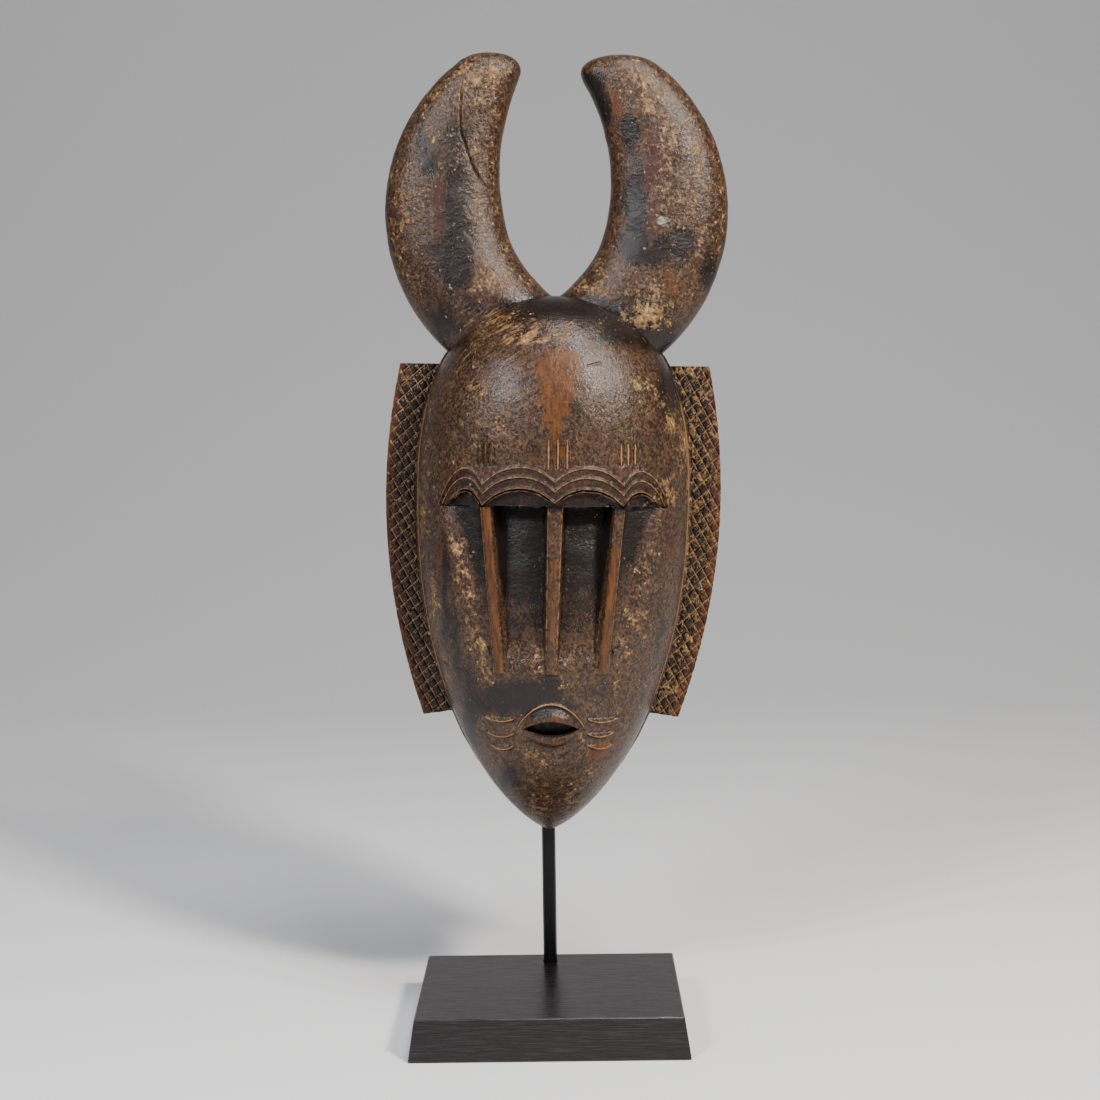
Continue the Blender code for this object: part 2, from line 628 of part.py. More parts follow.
def build_mask(parts, cutters):
    pose = bpy.data.objects.new("mask pose", None)
    pose.location = (MASK_SHIFT, BACK_PLANE, CHIN_HEIGHT)
    pose.rotation_euler = (0, MASK_ROLL, 0)
    parts.objects.link(pose)
    mask = add_object("mask", face_solid(), parts, pose)
    mask.data.materials.append(new_material("worn dark wood", (0.09, 0.05, 0.03), 0.45))

    def tool(mesh):
        return add_object(mesh.name, mesh, cutters, pose)

    for side, name in ((-1, "left"), (1, "right")):
        hook = RIGHT_HORN_HOOK if side > 0 else 0
        boolean(mask, "UNION", tool(horn_solid(f"{name} horn", side, hook)))
        wing = tool(wing_solid(f"{name} wing", side))
        for number, (pitch, slope) in enumerate(zip(GROOVE_PITCHES, GROOVE_SLOPES)):
            boolean(wing, "DIFFERENCE", tool(groove_cutter(f"{name} grooves {number}", side, pitch, slope)))
        boolean(mask, "UNION", wing)
    boolean(mask, "DIFFERENCE", tool(hollow_solid()))
    boolean(mask, "DIFFERENCE", tool(visor_cutter()))
    for i in range(len(ARCH_PEAK_RISES)):
        boolean(mask, "DIFFERENCE", tool(lunette_cutter(i)))
    nose_flanks = (NOSE_FLANK, NOSE_FLANK)
    boolean(mask, "UNION", tool(bar_solid("nose bar", NOSE_LEAN, 0, NOSE_TOP_WIDTH, NOSE_FOOT_WIDTH, nose_flanks)))
    for side, name in ((-1, "left"), (1, "right")):
        ends = (side * SIDE_BAR_TOP, side * SIDE_BAR_FOOT, SIDE_BAR_WIDTH, SIDE_BAR_WIDTH)
        mesh = bar_solid(f"{name} bar", *ends, SIDE_BAR_FLANKS[:: -side])
        boolean(mask, "UNION", tool(mesh))
    for line in raised_lines():
        boolean(mask, "UNION", tool(line))
    boolean(mask, "DIFFERENCE", tool(mouth_cutter()))
    socket = add_object(
        "rod socket cutter", tube_mesh("rod socket", list(rod_path(peg_end_y() - FIT_GAP)), ROD_DIAMETER / 2 + FIT_GAP, 3),
        cutters,
    )
    boolean(mask, "DIFFERENCE", socket)
    return mask


def build():
    clear_scene()
    parts = new_collection("horned mask on its stand")
    cutters = new_collection("cutters", hidden=True)
    build_base(parts, cutters)
    build_stem(parts)
    mask = build_mask(parts, cutters)
    for cutter in cutters.objects:
        cutter.hide_render = True
        cutter.display_type = "WIRE"
    mask.data.shade_smooth()
    mask.data.set_sharp_from_angle(angle=math.radians(35))


build()
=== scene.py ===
# A carved wooden face mask with horns, on its display stand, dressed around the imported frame.
import math

import bpy
import numpy as np
from mathutils import Euler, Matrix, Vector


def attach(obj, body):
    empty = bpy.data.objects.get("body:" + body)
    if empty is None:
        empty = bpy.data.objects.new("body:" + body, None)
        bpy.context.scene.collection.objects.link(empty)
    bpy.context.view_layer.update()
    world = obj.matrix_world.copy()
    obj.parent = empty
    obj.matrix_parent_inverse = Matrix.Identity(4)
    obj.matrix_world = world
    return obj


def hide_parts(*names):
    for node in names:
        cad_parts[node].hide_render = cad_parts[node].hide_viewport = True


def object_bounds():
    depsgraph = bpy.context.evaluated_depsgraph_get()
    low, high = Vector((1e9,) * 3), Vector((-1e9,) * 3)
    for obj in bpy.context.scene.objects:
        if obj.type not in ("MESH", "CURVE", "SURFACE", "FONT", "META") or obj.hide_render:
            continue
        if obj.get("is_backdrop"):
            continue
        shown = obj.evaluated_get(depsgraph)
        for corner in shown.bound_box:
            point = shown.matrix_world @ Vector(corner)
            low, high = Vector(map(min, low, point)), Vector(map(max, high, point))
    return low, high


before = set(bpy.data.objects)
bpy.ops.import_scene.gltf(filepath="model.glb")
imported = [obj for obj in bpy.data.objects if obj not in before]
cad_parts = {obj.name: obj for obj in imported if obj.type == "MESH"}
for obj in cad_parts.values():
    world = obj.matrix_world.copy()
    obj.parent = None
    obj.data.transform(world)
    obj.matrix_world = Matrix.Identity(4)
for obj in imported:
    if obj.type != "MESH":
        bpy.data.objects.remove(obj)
cadBox = [list(corner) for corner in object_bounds()]
mm = 0.001
print("frame loaded:", ", ".join(sorted(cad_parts)))


# Colours and nodes

def linear(hexCode):
    # sRGB hex to the linear colour that Blender's sockets want.
    channels = [int(hexCode[i:i + 2], 16) / 255 for i in (1, 3, 5)]
    return [c / 12.92 if c <= 0.04045 else ((c + 0.055) / 1.055) ** 2.4 for c in channels] + [1]


def addNode(tree, kind, settings={}, inputs={}, output=0):
    # adds one shader node; an input is a value or another node's output, and the chosen output comes back
    node = tree.nodes.new(kind)
    for name, value in settings.items():
        setattr(node, name, value)
    for name, value in inputs.items():
        if isinstance(value, bpy.types.NodeSocket):
            tree.links.new(value, node.inputs[name])
        else:
            node.inputs[name].default_value = value
    return node.outputs[output]


def newMaterial(name, shaderValues):
    material = bpy.data.materials.new(name)
    material.use_nodes = True
    tree = material.node_tree
    shader = tree.nodes["Principled BSDF"]
    for socket, value in shaderValues.items():
        shader.inputs[socket].default_value = value
    return material, tree, shader


# Camera, lights and floor

view = {
    "place": (0.0096, -0.9028, 0.2860),  # metres
    "turn": (85.4915, 0.8105, 0.3668),  # degrees
    "lens": 66.7636,  # mm, on a 36 mm frame
}
cameraData = bpy.data.cameras.new("portraitCamera")
cameraData.lens = view["lens"]
cameraData.sensor_width = 36
cameraData.clip_start = 0.01
camera = bpy.data.objects.new("portraitCamera", cameraData)
camera.location = view["place"]
camera.rotation_euler = Euler([math.radians(a) for a in view["turn"]])
bpy.context.scene.collection.objects.link(camera)
bpy.context.scene.camera = camera

lights = {  # place, the point it looks at, size in metres, power in watts, colour
    "keySoftbox": ((0.66, -0.88, 0.98), (0, 0, 0.27), 0.17, 27, "#fff6ec"),
    "fillSoftbox": ((-0.62, -0.95, 0.88), (0, 0, 0.27), 0.26, 12, "#f6f7ff"),
    "topSoftbox": ((0.25, -0.45, 1.35), (0, 0, 0.25), 0.3, 11, "#ffffff"),
}


def addLight(name, place, target, size, power, colour):
    data = bpy.data.lights.new(name, "AREA")
    data.size = size
    data.energy = power
    data.color = linear(colour)[:3]
    lamp = bpy.data.objects.new(name, data)
    lamp.location = place
    away = lamp.location - type(lamp.location)(target)
    lamp.rotation_euler = away.to_track_quat("Z", "Y").to_euler()
    bpy.context.scene.collection.objects.link(lamp)


for lightName, lightValues in lights.items():
    addLight(lightName, *lightValues)

room = {
    "light": "#d9dbde", "lightStrength": 0.28,  # even light from all round
    "paper": "#e8e8e9", "paperSize": 9, "paperPlace": (0, -2, -0.0002),  # metres
    "wall": 4, "bend": 1.6, "bendSegments": 24,  # the paper curves up behind, so no horizon shows
}
world = bpy.data.worlds.new("paleRoom")
world.use_nodes = True
world.node_tree.nodes["Background"].inputs["Color"].default_value = linear(room["light"])
world.node_tree.nodes["Background"].inputs["Strength"].default_value = room["lightStrength"]
bpy.context.scene.world = world

bpy.ops.object.select_all(action="DESELECT")
bpy.ops.mesh.primitive_plane_add(size=room["paperSize"], location=room["paperPlace"])
floor = bpy.context.object
bpy.context.tool_settings.mesh_select_mode = (False, True, False)
floor.data.vertices.foreach_set("select", [v.co.y > 0 for v in floor.data.vertices])
for edge in floor.data.edges:  # only the back edge
    edge.select = all(floor.data.vertices[i].co.y > 0 for i in edge.vertices)
for face in floor.data.polygons:
    face.select = False
bpy.ops.object.mode_set(mode="EDIT")
bpy.ops.mesh.extrude_region_move(TRANSFORM_OT_translate={"value": (0, 0, room["wall"])})
bpy.ops.object.mode_set(mode="OBJECT")
sweep = floor.modifiers.new("sweep", "BEVEL")
sweep.width, sweep.segments = room["bend"], room["bendSegments"]
bpy.ops.object.modifier_apply(modifier=sweep.name)
bpy.ops.object.shade_smooth()
floor.name = "paleFloor"
floorPaint, floorTree, floorShader = newMaterial("mattWhitePaper", {
    "Base Color": linear(room["paper"]), "Roughness": 0.75})  # seamless paper: no gloss, no grain
floor.data.materials.append(floorPaint)
floor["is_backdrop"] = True
print("camera, lights and floor are set")


# The mask's own form, in mm from the tip of its chin: x across, depth forward of the back plane, z up

form = {
    "place": (0.6, 34.525, 83.8),  # the chin's tip in the row frame, mm
    "roll": 1.45,  # degrees that the mask leans to the right
    "height": 243.8, "halfWidth": 61, "widest": 158.47, "widthCurve": 2.3, "jawCurve": 0.74,
    "domeDepth": 46, "deepest": 175.536, "crownCurve": 2.25, "domeJawCurve": 0.62, "roundness": 2.2,
    "sideDepth": 21, "chinSideDepth": 9, "chinTaper": 45,
    "shelf": 152, "visorFoot": 80, "visorTopHalf": 49.5, "visorFootHalf": 31, "visorSlope": 0.8,
    "grooveDepth": 16, "panelDepth": 7, "panelCurve": 2.2,
    "sideBar": (22.7, 29.3), "noseLean": 1.2, "barWidths": (4.4, 6.2), "barFoot": 78.5,
    "hornOuter": (-6.5, 281, 83, -52, 50),  # centre x and z, radius, the two angles it runs between
    "hornInner": (-72.9, 299, 98.4, -41, 24),
    "hornFlare": 13, "hornFlareShare": 0.38, "hornThickness": (36, 20), "hornSetback": 17.5,
    "hornRoundness": 2.3, "hornHook": 6.5,
    "wingFoot": 53.4, "wingTop": 213.2, "wingFootEdge": 58.2, "wingTopEdge": 69.8, "wingBulge": 11.2,
    "wingFront": 13.5,
}
rollTurn = math.radians(form["roll"])
leaning = np.array([[math.cos(rollTurn), 0, math.sin(rollTurn)], [0, 1, 0],
                    [-math.sin(rollTurn), 0, math.cos(rollTurn)]])


def toMask(points):
    # Row frame in metres to the mask's own x, depth and z in mm.
    own = (points / mm - np.array(form["place"])) @ leaning
    own[:, 1] *= -1
    return own


def toFrame(own):
    points = own.copy()
    points[:, 1] *= -1
    return (points @ leaning.T + np.array(form["place"])) * mm


def halfWidth(z):
    over = np.clip((z - form["widest"]) / (form["height"] - form["widest"]), 0, 1)
    under = np.clip((form["widest"] - z) / form["widest"], 0, 1)
    upper = (1 - over ** form["widthCurve"]) ** (1 / form["widthCurve"])
    lower = (1 - under ** form["widthCurve"]) ** form["jawCurve"]
    return np.maximum(form["halfWidth"] * np.where(z >= form["widest"], upper, lower), 0.5)


def domeDepth(z):
    over = np.clip((z - form["deepest"]) / (form["height"] - form["deepest"]), 0, 1)
    under = np.clip((form["deepest"] - z) / form["deepest"], 0, 1)
    upper = (1 - over ** form["crownCurve"]) ** (1 / form["crownCurve"])
    lower = (1 - under ** form["widthCurve"]) ** form["domeJawCurve"]
    return np.maximum(form["domeDepth"] * np.where(z >= form["deepest"], upper, lower), 0.3)


def sideDepth(z):
    rest = np.clip(1 - z / form["chinTaper"], 0, 1)
    return form["sideDepth"] - (form["sideDepth"] - form["chinSideDepth"]) * rest ** 2


def faceDepth(x, z):
    share = np.minimum(np.abs(x) / halfWidth(z), 1)
    power = form["roundness"]
    return sideDepth(z) + domeDepth(z) * (1 - share ** power) ** (1 / power)


def sideBarX(z):
    low, high = form["sideBar"]
    return low + (high - low) * (z - form["barFoot"]) / (form["shelf"] + 2 - form["barFoot"])


def visorDepths(x, z):
    # How far the floor of the grooves and of the outer panels lies behind the face.
    rise = np.clip((z - form["visorFoot"]) / (form["shelf"] - form["visorFoot"]), 0, 1)
    half = form["visorFootHalf"] + (form["visorTopHalf"] - form["visorFootHalf"]) * rise
    bar = sideBarX(z) + 1
    share = np.clip((np.abs(x) - bar) / (half - bar), 0, 1)
    deep = rise ** form["visorSlope"]
    return form["grooveDepth"] * deep, form["panelDepth"] * deep * (1 - share ** form["panelCurve"])


def ease(value, low, high):
    # 0 below low, 1 above high, smooth between; low may be above high.
    share = np.clip((value - low) / (high - low), 0, 1)
    return share * share * (3 - 2 * share)


def cloud(points, grain, seed=0):
    # Smooth random values from -1 to 1, in patches of about the grain's size in mm.
    cells = points / grain + seed * 17.31
    base = np.floor(cells).astype(np.int64)
    part = cells - base
    part = part * part * (3 - 2 * part)
    total = np.zeros(len(points))
    for corner in range(8):
        step = np.array([(corner >> axis) & 1 for axis in range(3)])
        key = (base + step) @ np.array([73856093, 19349663, 83492791])
        key = ((key ^ (key >> 13)) * 1274126177) & 0x7FFFFFFF
        value = ((key ^ (key >> 16)) & 0xFFFF) / 32767.5 - 1
        total += value * np.prod(np.where(step, part, 1 - part), axis=1)
    return total


# Reading and moving a mesh

def readPoints(mesh):
    points = np.empty(len(mesh.vertices) * 3)
    mesh.vertices.foreach_get("co", points)
    return points.reshape(-1, 3)


def readNormals(mesh):
    normals = np.empty(len(mesh.vertices) * 3)
    mesh.vertex_normals.foreach_get("vector", normals)
    return normals.reshape(-1, 3)


def readEdges(mesh):
    edges = np.empty(len(mesh.edges) * 2, np.int32)
    mesh.edges.foreach_get("vertices", edges)
    return edges.reshape(-1, 2)


def writePoints(mesh, points):
    mesh.vertices.foreach_set("co", points.astype(np.float32).ravel())
    mesh.update()


def averaged(values, edges, count):
    # Each vertex's mean of its neighbours' values, taken as many times as count says.
    first, second = edges[:, 0], edges[:, 1]
    size = len(values)
    number = np.bincount(first, minlength=size) + np.bincount(second, minlength=size)
    for _ in range(count):
        columns = []
        for k in range(values.shape[1]):
            total = np.bincount(first, values[second, k], size)
            total += np.bincount(second, values[first, k], size)
            columns.append(total / np.maximum(number, 1))
        values = np.stack(columns, axis=1)
    return values


def softened(points, edges, weight, rounds, back):
    # smooths where weight is above 0; back is how much of each step is taken back, which keeps the size
    near = edges[(weight[edges[:, 0]] > 0) | (weight[edges[:, 1]] > 0)]
    chosen, local = np.unique(near, return_inverse=True)
    local = local.reshape(-1, 2)
    part, share = points[chosen], weight[chosen][:, None]
    for _ in range(rounds):
        for pull in (0.5, -0.5 * back) if back else (0.5,):
            part = part + (averaged(part, local, 1) - part) * (pull * share)
    moved = points.copy()
    moved[chosen] = part
    return moved


def storeValues(mesh, name, values):
    layer = mesh.attributes.get(name) or mesh.attributes.new(name, "FLOAT", "POINT")
    layer.data.foreach_set("value", np.clip(values, 0, 1).astype(np.float32))


# The mask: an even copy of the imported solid, shaped finer, then thinned where it is plain

carving = {
    "voxel": 0.5,  # mm
    "triangles": 194000,
    "archEnds": (-50, -30.6, 0.8, 30.6, 51), "archEndHeights": (151, 160.8, 162.2, 160.8, 150),
    "archPeaks": (167, 168.4, 168.2, 166.2), "archDrops": (0, 4.2, 9), "archCurve": 2.2,
    "terraceDepths": (0.9, 0.9, 1.2), "terraceLip": 0.3,
    # each group of three strokes: x, length, pitch, how pale its edges are, with rubbed wear and painted
    # highlight
    "strokeGroups": ((-29.2, 10.5, 2.5, 0.35), (2.2, 13, 4, 1), (32.4, 9.5, 3, 0.9)),
    "strokeCentre": 174.4, "strokeWidth": 1.7, "strokeRise": 0.7,
    "whiskers": ((-29.6, -15, 58.8), (-28.6, -15.4, 51.6), (-26.8, -16, 45.6),
                 (15.6, 30.6, 58.9), (15.6, 28.8, 52.2), (16.4, 28.2, 46.5)),  # start, end, height
    "whiskerSag": 2.3, "whiskerRise": 1.0,
    "mouth": (0.3, 53.4), "mouthHalf": 12, "mouthOpening": 7.2, "mouthStretch": (1.165, 1.28),
    "lipHalf": 12.4, "upperLip": 59.4, "lowerLip": 47.4, "lipRise": 2.9,
    "ringHalf": 14.9, "ringTop": 65.2, "ringRise": 1.1,
    "groovePitches": (5.6, 7.9), "grooveSlopes": (42, -61), "grooveWidth": 1.5, "grooveDepth": 0.9,
    "outerBand": 1.7,  # mm of the left wing's edge that the grooves leave plain
    "cuts": (  # thin cuts: the points they follow, half width, depth
        (((-42.2, 338.6), (-42.6, 324), (-42.3, 314.9), (-36.5, 298.5), (-29.4, 287.5)), 0.4, 1.0),
        (((3.1, 38.8), (5.7, 40.7), (8.8, 43.6)), 0.5, 0.7),
        (((13.6, 212.3), (20.4, 214.1)), 0.4, 0.35)),
    "chip": (46.9, 277.3, 3.4, 1.3),  # x, z, radius, depth
    "barProud": 1.4, "gougeWidth": 7, "gougeDepth": 0.55, "handRipple": 0.16,
    "browTop": 171, "strokeZone": (166, 184), "mouthZone": (38, 68, 34),  # heights, and the half width
}


def archHeight(x):
    # Height of the top brow line at x, and whether x is under an arch.
    ends, lows = np.array(carving["archEnds"]), np.array(carving["archEndHeights"])
    arch = np.clip(np.searchsorted(ends, x) - 1, 0, 3)
    share = np.clip((x - ends[arch]) / (ends[arch + 1] - ends[arch]), 0, 1)
    middle = (lows[arch] + lows[arch + 1]) / 2
    bow = 1 - np.abs(2 * share - 1) ** carving["archCurve"]
    peaks = np.array(carving["archPeaks"])[arch]
    height = lows[arch] + (lows[arch + 1] - lows[arch]) * share + (peaks - middle) * bow
    return height, (x > ends[0]) & (x < ends[-1])


def terraceCut(x, z):
    # Depth of the brow's stepped bands below the forehead.
    height, under = archHeight(x)
    cut = np.zeros(len(x))
    for drop, step in zip(carving["archDrops"], carving["terraceDepths"]):
        line = height - drop
        cut += step * ease(z, line + 0.2, line - 0.5)
        cut -= carving["terraceLip"] * np.exp(-((z - line - 0.5) / 0.8) ** 2)
    return np.where(under, cut, 0)


def strokeRelief(x, z):
    # gives the forehead's short strokes and how pale their edges are, partly rubbed wear and partly painted
    # highlight
    rise, pale = np.zeros(len(x)), np.zeros(len(x))
    for centre, length, pitch, paleness in carving["strokeGroups"]:
        for i in (-1, 0, 1):
            along = np.abs(z - carving["strokeCentre"]) / (length / 2)
            half = carving["strokeWidth"] / 2 * np.sqrt(np.clip(1 - along ** 3, 0.001, 1))
            off = x - centre - pitch * i
            rise += np.where(along < 1, carving["strokeRise"] * np.clip(1 - (off / half) ** 2, 0, 1), 0)
            rise -= np.where(along < 1, 0.4 * np.exp(-((np.abs(off) - half - 0.4) / 0.4) ** 2), 0)
            pale = np.maximum(pale, np.where(along < 1, paleness * np.exp(-((off + 0.25) / 0.4) ** 2), 0))
    return rise, pale


def whiskerRelief(x, z):
    # leaf-shaped cuts beside the mouth, straight above and bowed below, and their pale lower rims, a
    # painted highlight where the light strikes the lower wall
    rise, pale = np.zeros(len(x)), np.zeros(len(x))
    for start, end, top in carving["whiskers"]:
        along = (2 * x - start - end) / (end - start)
        ends = ease(np.abs(along), 1, 0.8)
        rim = top - carving["whiskerSag"] * (1 - along ** 2)
        leaf = ease(z, top + 0.4, top - 0.4) * ease(z, rim - 1.0, rim)
        rise += ends * carving["whiskerRise"] * leaf * ease(z, top + 0.8, rim)
        rise -= ends * 0.5 * np.exp(-((z - top - 0.6) / 0.6) ** 2)
        pale = np.maximum(pale, ends * np.exp(-((z - rim - 0.1) / 0.4) ** 2))
        pale = np.maximum(pale, ends * 0.5 * np.exp(-((z - top) / 0.35) ** 2))
    return rise, pale


def lipRelief(x, z):
    # both lips as one raised lens round the opening, and the thin ring over them
    cx, cz = carving["mouth"]
    share = np.clip(np.abs(x - cx) / carving["lipHalf"], 0, 1)
    bow = 1 - share ** 2
    upper, lower = cz + (carving["upperLip"] - cz) * bow, cz - (cz - carving["lowerLip"]) * bow
    ringShare = np.clip(np.abs(x - cx) / carving["ringHalf"], 0, 1)
    ring = cz + (carving["ringTop"] - cz) * (1 - ringShare ** 2) ** 0.8
    lips = ease(z, np.maximum(ring - 0.8, upper + 0.5), upper) * ease(z, lower - 2.4, lower - 0.3)
    rise = carving["lipRise"] * np.sqrt(bow) * lips * (share < 1)
    line = np.exp(-((z - ring) / 0.6) ** 2) * ease(ringShare, 1, 0.97) * (z > cz - 1)
    return np.maximum(rise, carving["ringRise"] * line), line


def cutDistance(x, z, line):
    # distance in mm from a line through points, and how far along it, from 0 to 1
    nearest, along = np.full(len(x), 1e3), np.zeros(len(x))
    for i, ((x0, z0), (x1, z1)) in enumerate(zip(line[:-1], line[1:])):
        square = (x1 - x0) ** 2 + (z1 - z0) ** 2
        t = np.clip(((x - x0) * (x1 - x0) + (z - z0) * (z1 - z0)) / square, 0, 1)
        off = np.hypot(x - x0 - t * (x1 - x0), z - z0 - t * (z1 - z0))
        along = np.where(off < nearest, (i + t) / (len(line) - 1), along)
        nearest = np.minimum(nearest, off)
    return nearest, along


def barAcross(x, z):
    # how far across the nearest bar's crest a point lies, from -1 to 1, and the bar's rise from its foot
    rise = (z - form["barFoot"]) / (form["shelf"] + 2 - form["barFoot"])
    low, high = form["barWidths"]
    nose = (x - form["noseLean"] * rise) / ((low + (high - low) * np.clip(rise, 0, 1)) / 2)
    side = (np.abs(x) - sideBarX(z)) / 2.1 * np.sign(x)
    return np.where(np.abs(nose) < np.abs(side), nose, side), rise


def barFit(own, facing):
    # lays the crests of the three bars on their true lines, a little rounded
    x, depth, z = own.T
    across, rise = barAcross(x, z)
    face = faceDepth(x, z)
    crest = face + carving["barProud"] * (1 - np.clip(rise, 0, 1) ** 3) - 0.85 * np.abs(across) ** 3
    near = (np.abs(across) < 1.06) & (rise > 0.012) & (rise < 0.985)
    near &= (depth > face - 1.2) & (facing > 0.35)
    return np.stack([x, np.where(near, crest, depth), z], axis=1)


def grooveDistance(x, z, side, number):
    # Distance in mm from the nearest groove of one direction on a wing.
    pitch, slope = carving["groovePitches"][number], math.radians(carving["grooveSlopes"][number])
    start = form["wingFoot"] - abs(math.tan(slope)) * 15
    middle = side * (form["wingTopEdge"] + form["wingFootEdge"]) / 2
    phase = (z - start - (x - middle) * math.tan(slope)) / pitch
    return np.abs(phase - np.round(phase)) * pitch * math.cos(slope)


def wingEdge(z):
    share = (z - form["wingFoot"]) / (form["wingTop"] - form["wingFoot"])
    chord = form["wingFootEdge"] + (form["wingTopEdge"] - form["wingFootEdge"]) * share
    return chord + form["wingBulge"] * (1 - (2 * share - 1) ** 2)


def latticeCut(x, z):
    side = np.where(x < 0, -1, 1)
    nearest = np.minimum(grooveDistance(x, z, side, 0), grooveDistance(x, z, side, 1))
    cut = carving["grooveDepth"] * np.clip(1 - nearest / (carving["grooveWidth"] / 2), 0, 1)
    band = wingEdge(z) - np.abs(x)
    kept = ease(band, carving["outerBand"] - 0.3, carving["outerBand"] + 0.4)
    return cut * np.where(x < 0, kept, 1)


def hornFit(own, side):
    # Moves points that lie close to a horn's faceted side onto its true curve.
    shares = np.linspace(0, 1, 81)
    rows = {}
    for name in ("hornOuter", "hornInner"):
        cx, cz, radius, start, end = form[name]
        angle = np.radians(start + (end - start) * shares)
        rows[name] = np.stack([cx + radius * np.cos(angle), cz + radius * np.sin(angle)], axis=1)
    rows["hornInner"][:, 0] -= form["hornFlare"] * np.clip(1 - shares / form["hornFlareShare"], 0, 1) ** 2
    if side > 0:
        rows["hornInner"][:, 0] -= form["hornHook"] * shares ** 3
    across = (rows["hornOuter"] - rows["hornInner"]) / 2
    middle = (rows["hornOuter"] + rows["hornInner"]) / 2
    facing = np.stack([-across[:, 1], across[:, 0]], axis=1) / np.linalg.norm(across, axis=1)[:, None]
    flat = np.stack([own[:, 0] * side, own[:, 2]], axis=1)
    ahead = flat @ facing.T - np.sum(middle * facing, axis=1)
    share = np.argmin(np.abs(ahead), axis=1)
    inside = (share > 0) & (share < len(shares) - 1)
    slip = np.take_along_axis(ahead, share[:, None], 1)[:, 0]
    after = np.take_along_axis(ahead, np.minimum(share + 1, len(shares) - 1)[:, None], 1)[:, 0]
    exact = share + np.clip(np.where(np.abs(after - slip) > 1e-6, slip / (slip - after + 1e-12), 0), -1, 1)
    exact = np.clip(exact, 0, len(shares) - 1)
    step = np.arange(len(shares))
    mid = np.stack([np.interp(exact, step, middle[:, k]) for k in (0, 1)], axis=1)
    arm = np.stack([np.interp(exact, step, across[:, k]) for k in (0, 1)], axis=1)
    reach = np.linalg.norm(arm, axis=1)
    thick = np.interp(exact, step, np.linspace(*form["hornThickness"], len(shares))) / 2
    a = np.sum((flat - mid) * arm, axis=1) / reach ** 2
    d = (own[:, 1] - form["hornSetback"]) / thick
    power = form["hornRoundness"]
    size = np.maximum((np.abs(a) ** power + np.abs(d) ** power) ** (1 / power), 1e-3)
    miss = np.abs(size - 1) * np.sqrt((a * reach) ** 2 + (d * thick) ** 2) / size
    near = inside & (miss < 1.6) & (own[:, 0] * side > -2)
    onCurve = mid + arm * (a / size)[:, None]
    fitted = np.stack([onCurve[:, 0] * side, form["hornSetback"] + thick * d / size, onCurve[:, 1]], axis=1)
    return np.where(near[:, None], fitted, own)


def faceFit(own, reach):
    # Moves points near the faceted dome onto its true curve, by two Newton steps.
    def off(p):
        out = np.maximum(p[:, 1] - sideDepth(p[:, 2]), 0) / domeDepth(p[:, 2])
        power = form["roundness"]
        return ((np.abs(p[:, 0]) / halfWidth(p[:, 2])) ** power + out ** power + 1e-9) ** (1 / power) - 1
    moved = own.copy()
    for _ in range(2):
        here = off(moved)
        slope = np.stack([off(moved + 0.05 * axis) - here for axis in np.eye(3)], axis=1) / 0.05
        moved = moved - slope * (here / np.maximum(np.sum(slope ** 2, axis=1), 1e-6))[:, None]
    shift = np.linalg.norm(moved - own, axis=1)
    across, rise = barAcross(own[:, 0], own[:, 2])
    bar = (np.abs(across) < 1.5) & (rise > -0.03) & (rise < 1)
    near = (shift < reach) & (own[:, 1] > sideDepth(own[:, 2]) - 1) & (own[:, 2] > 1.5) & ~bar
    return np.where(near[:, None], moved, own)


def visorFit(own, facing):
    # Moves points near the faceted floor of the visor onto its true curve.
    x, depth, z = own.T
    face = faceDepth(x, z)
    fitted = depth.copy()
    inside = (z > form["visorFoot"] - 1) & (z < form["shelf"] - 0.4) & (facing > 0.45)
    for floorDepth in visorDepths(x, z):
        near = inside & (np.abs(depth - face + floorDepth) < 0.7) & (floorDepth > 0.1)
        fitted = np.where(near, face - floorDepth, fitted)
    return np.stack([x, fitted, z], axis=1)


def openMouth(own):
    # draws the cut between the lips a little wider, fading out over the lips
    cx, cz = carving["mouth"][0] + 0.3, carving["mouth"][1] + 0.6
    off = np.hypot((own[:, 0] - cx) / 10.3, (own[:, 2] - cz) / 2.8)
    wider, taller = carving["mouthStretch"]
    pull = ease(off, 3, 1.1) * (own[:, 1] > 24) * (np.abs(own[:, 0] - cx) < 18)
    own[:, 0] += (own[:, 0] - cx) * (wider - 1) * pull * ease(np.abs(own[:, 0] - cx), 17, 11)
    own[:, 2] += (own[:, 2] - cz) * (taller - 1) * pull
    return own


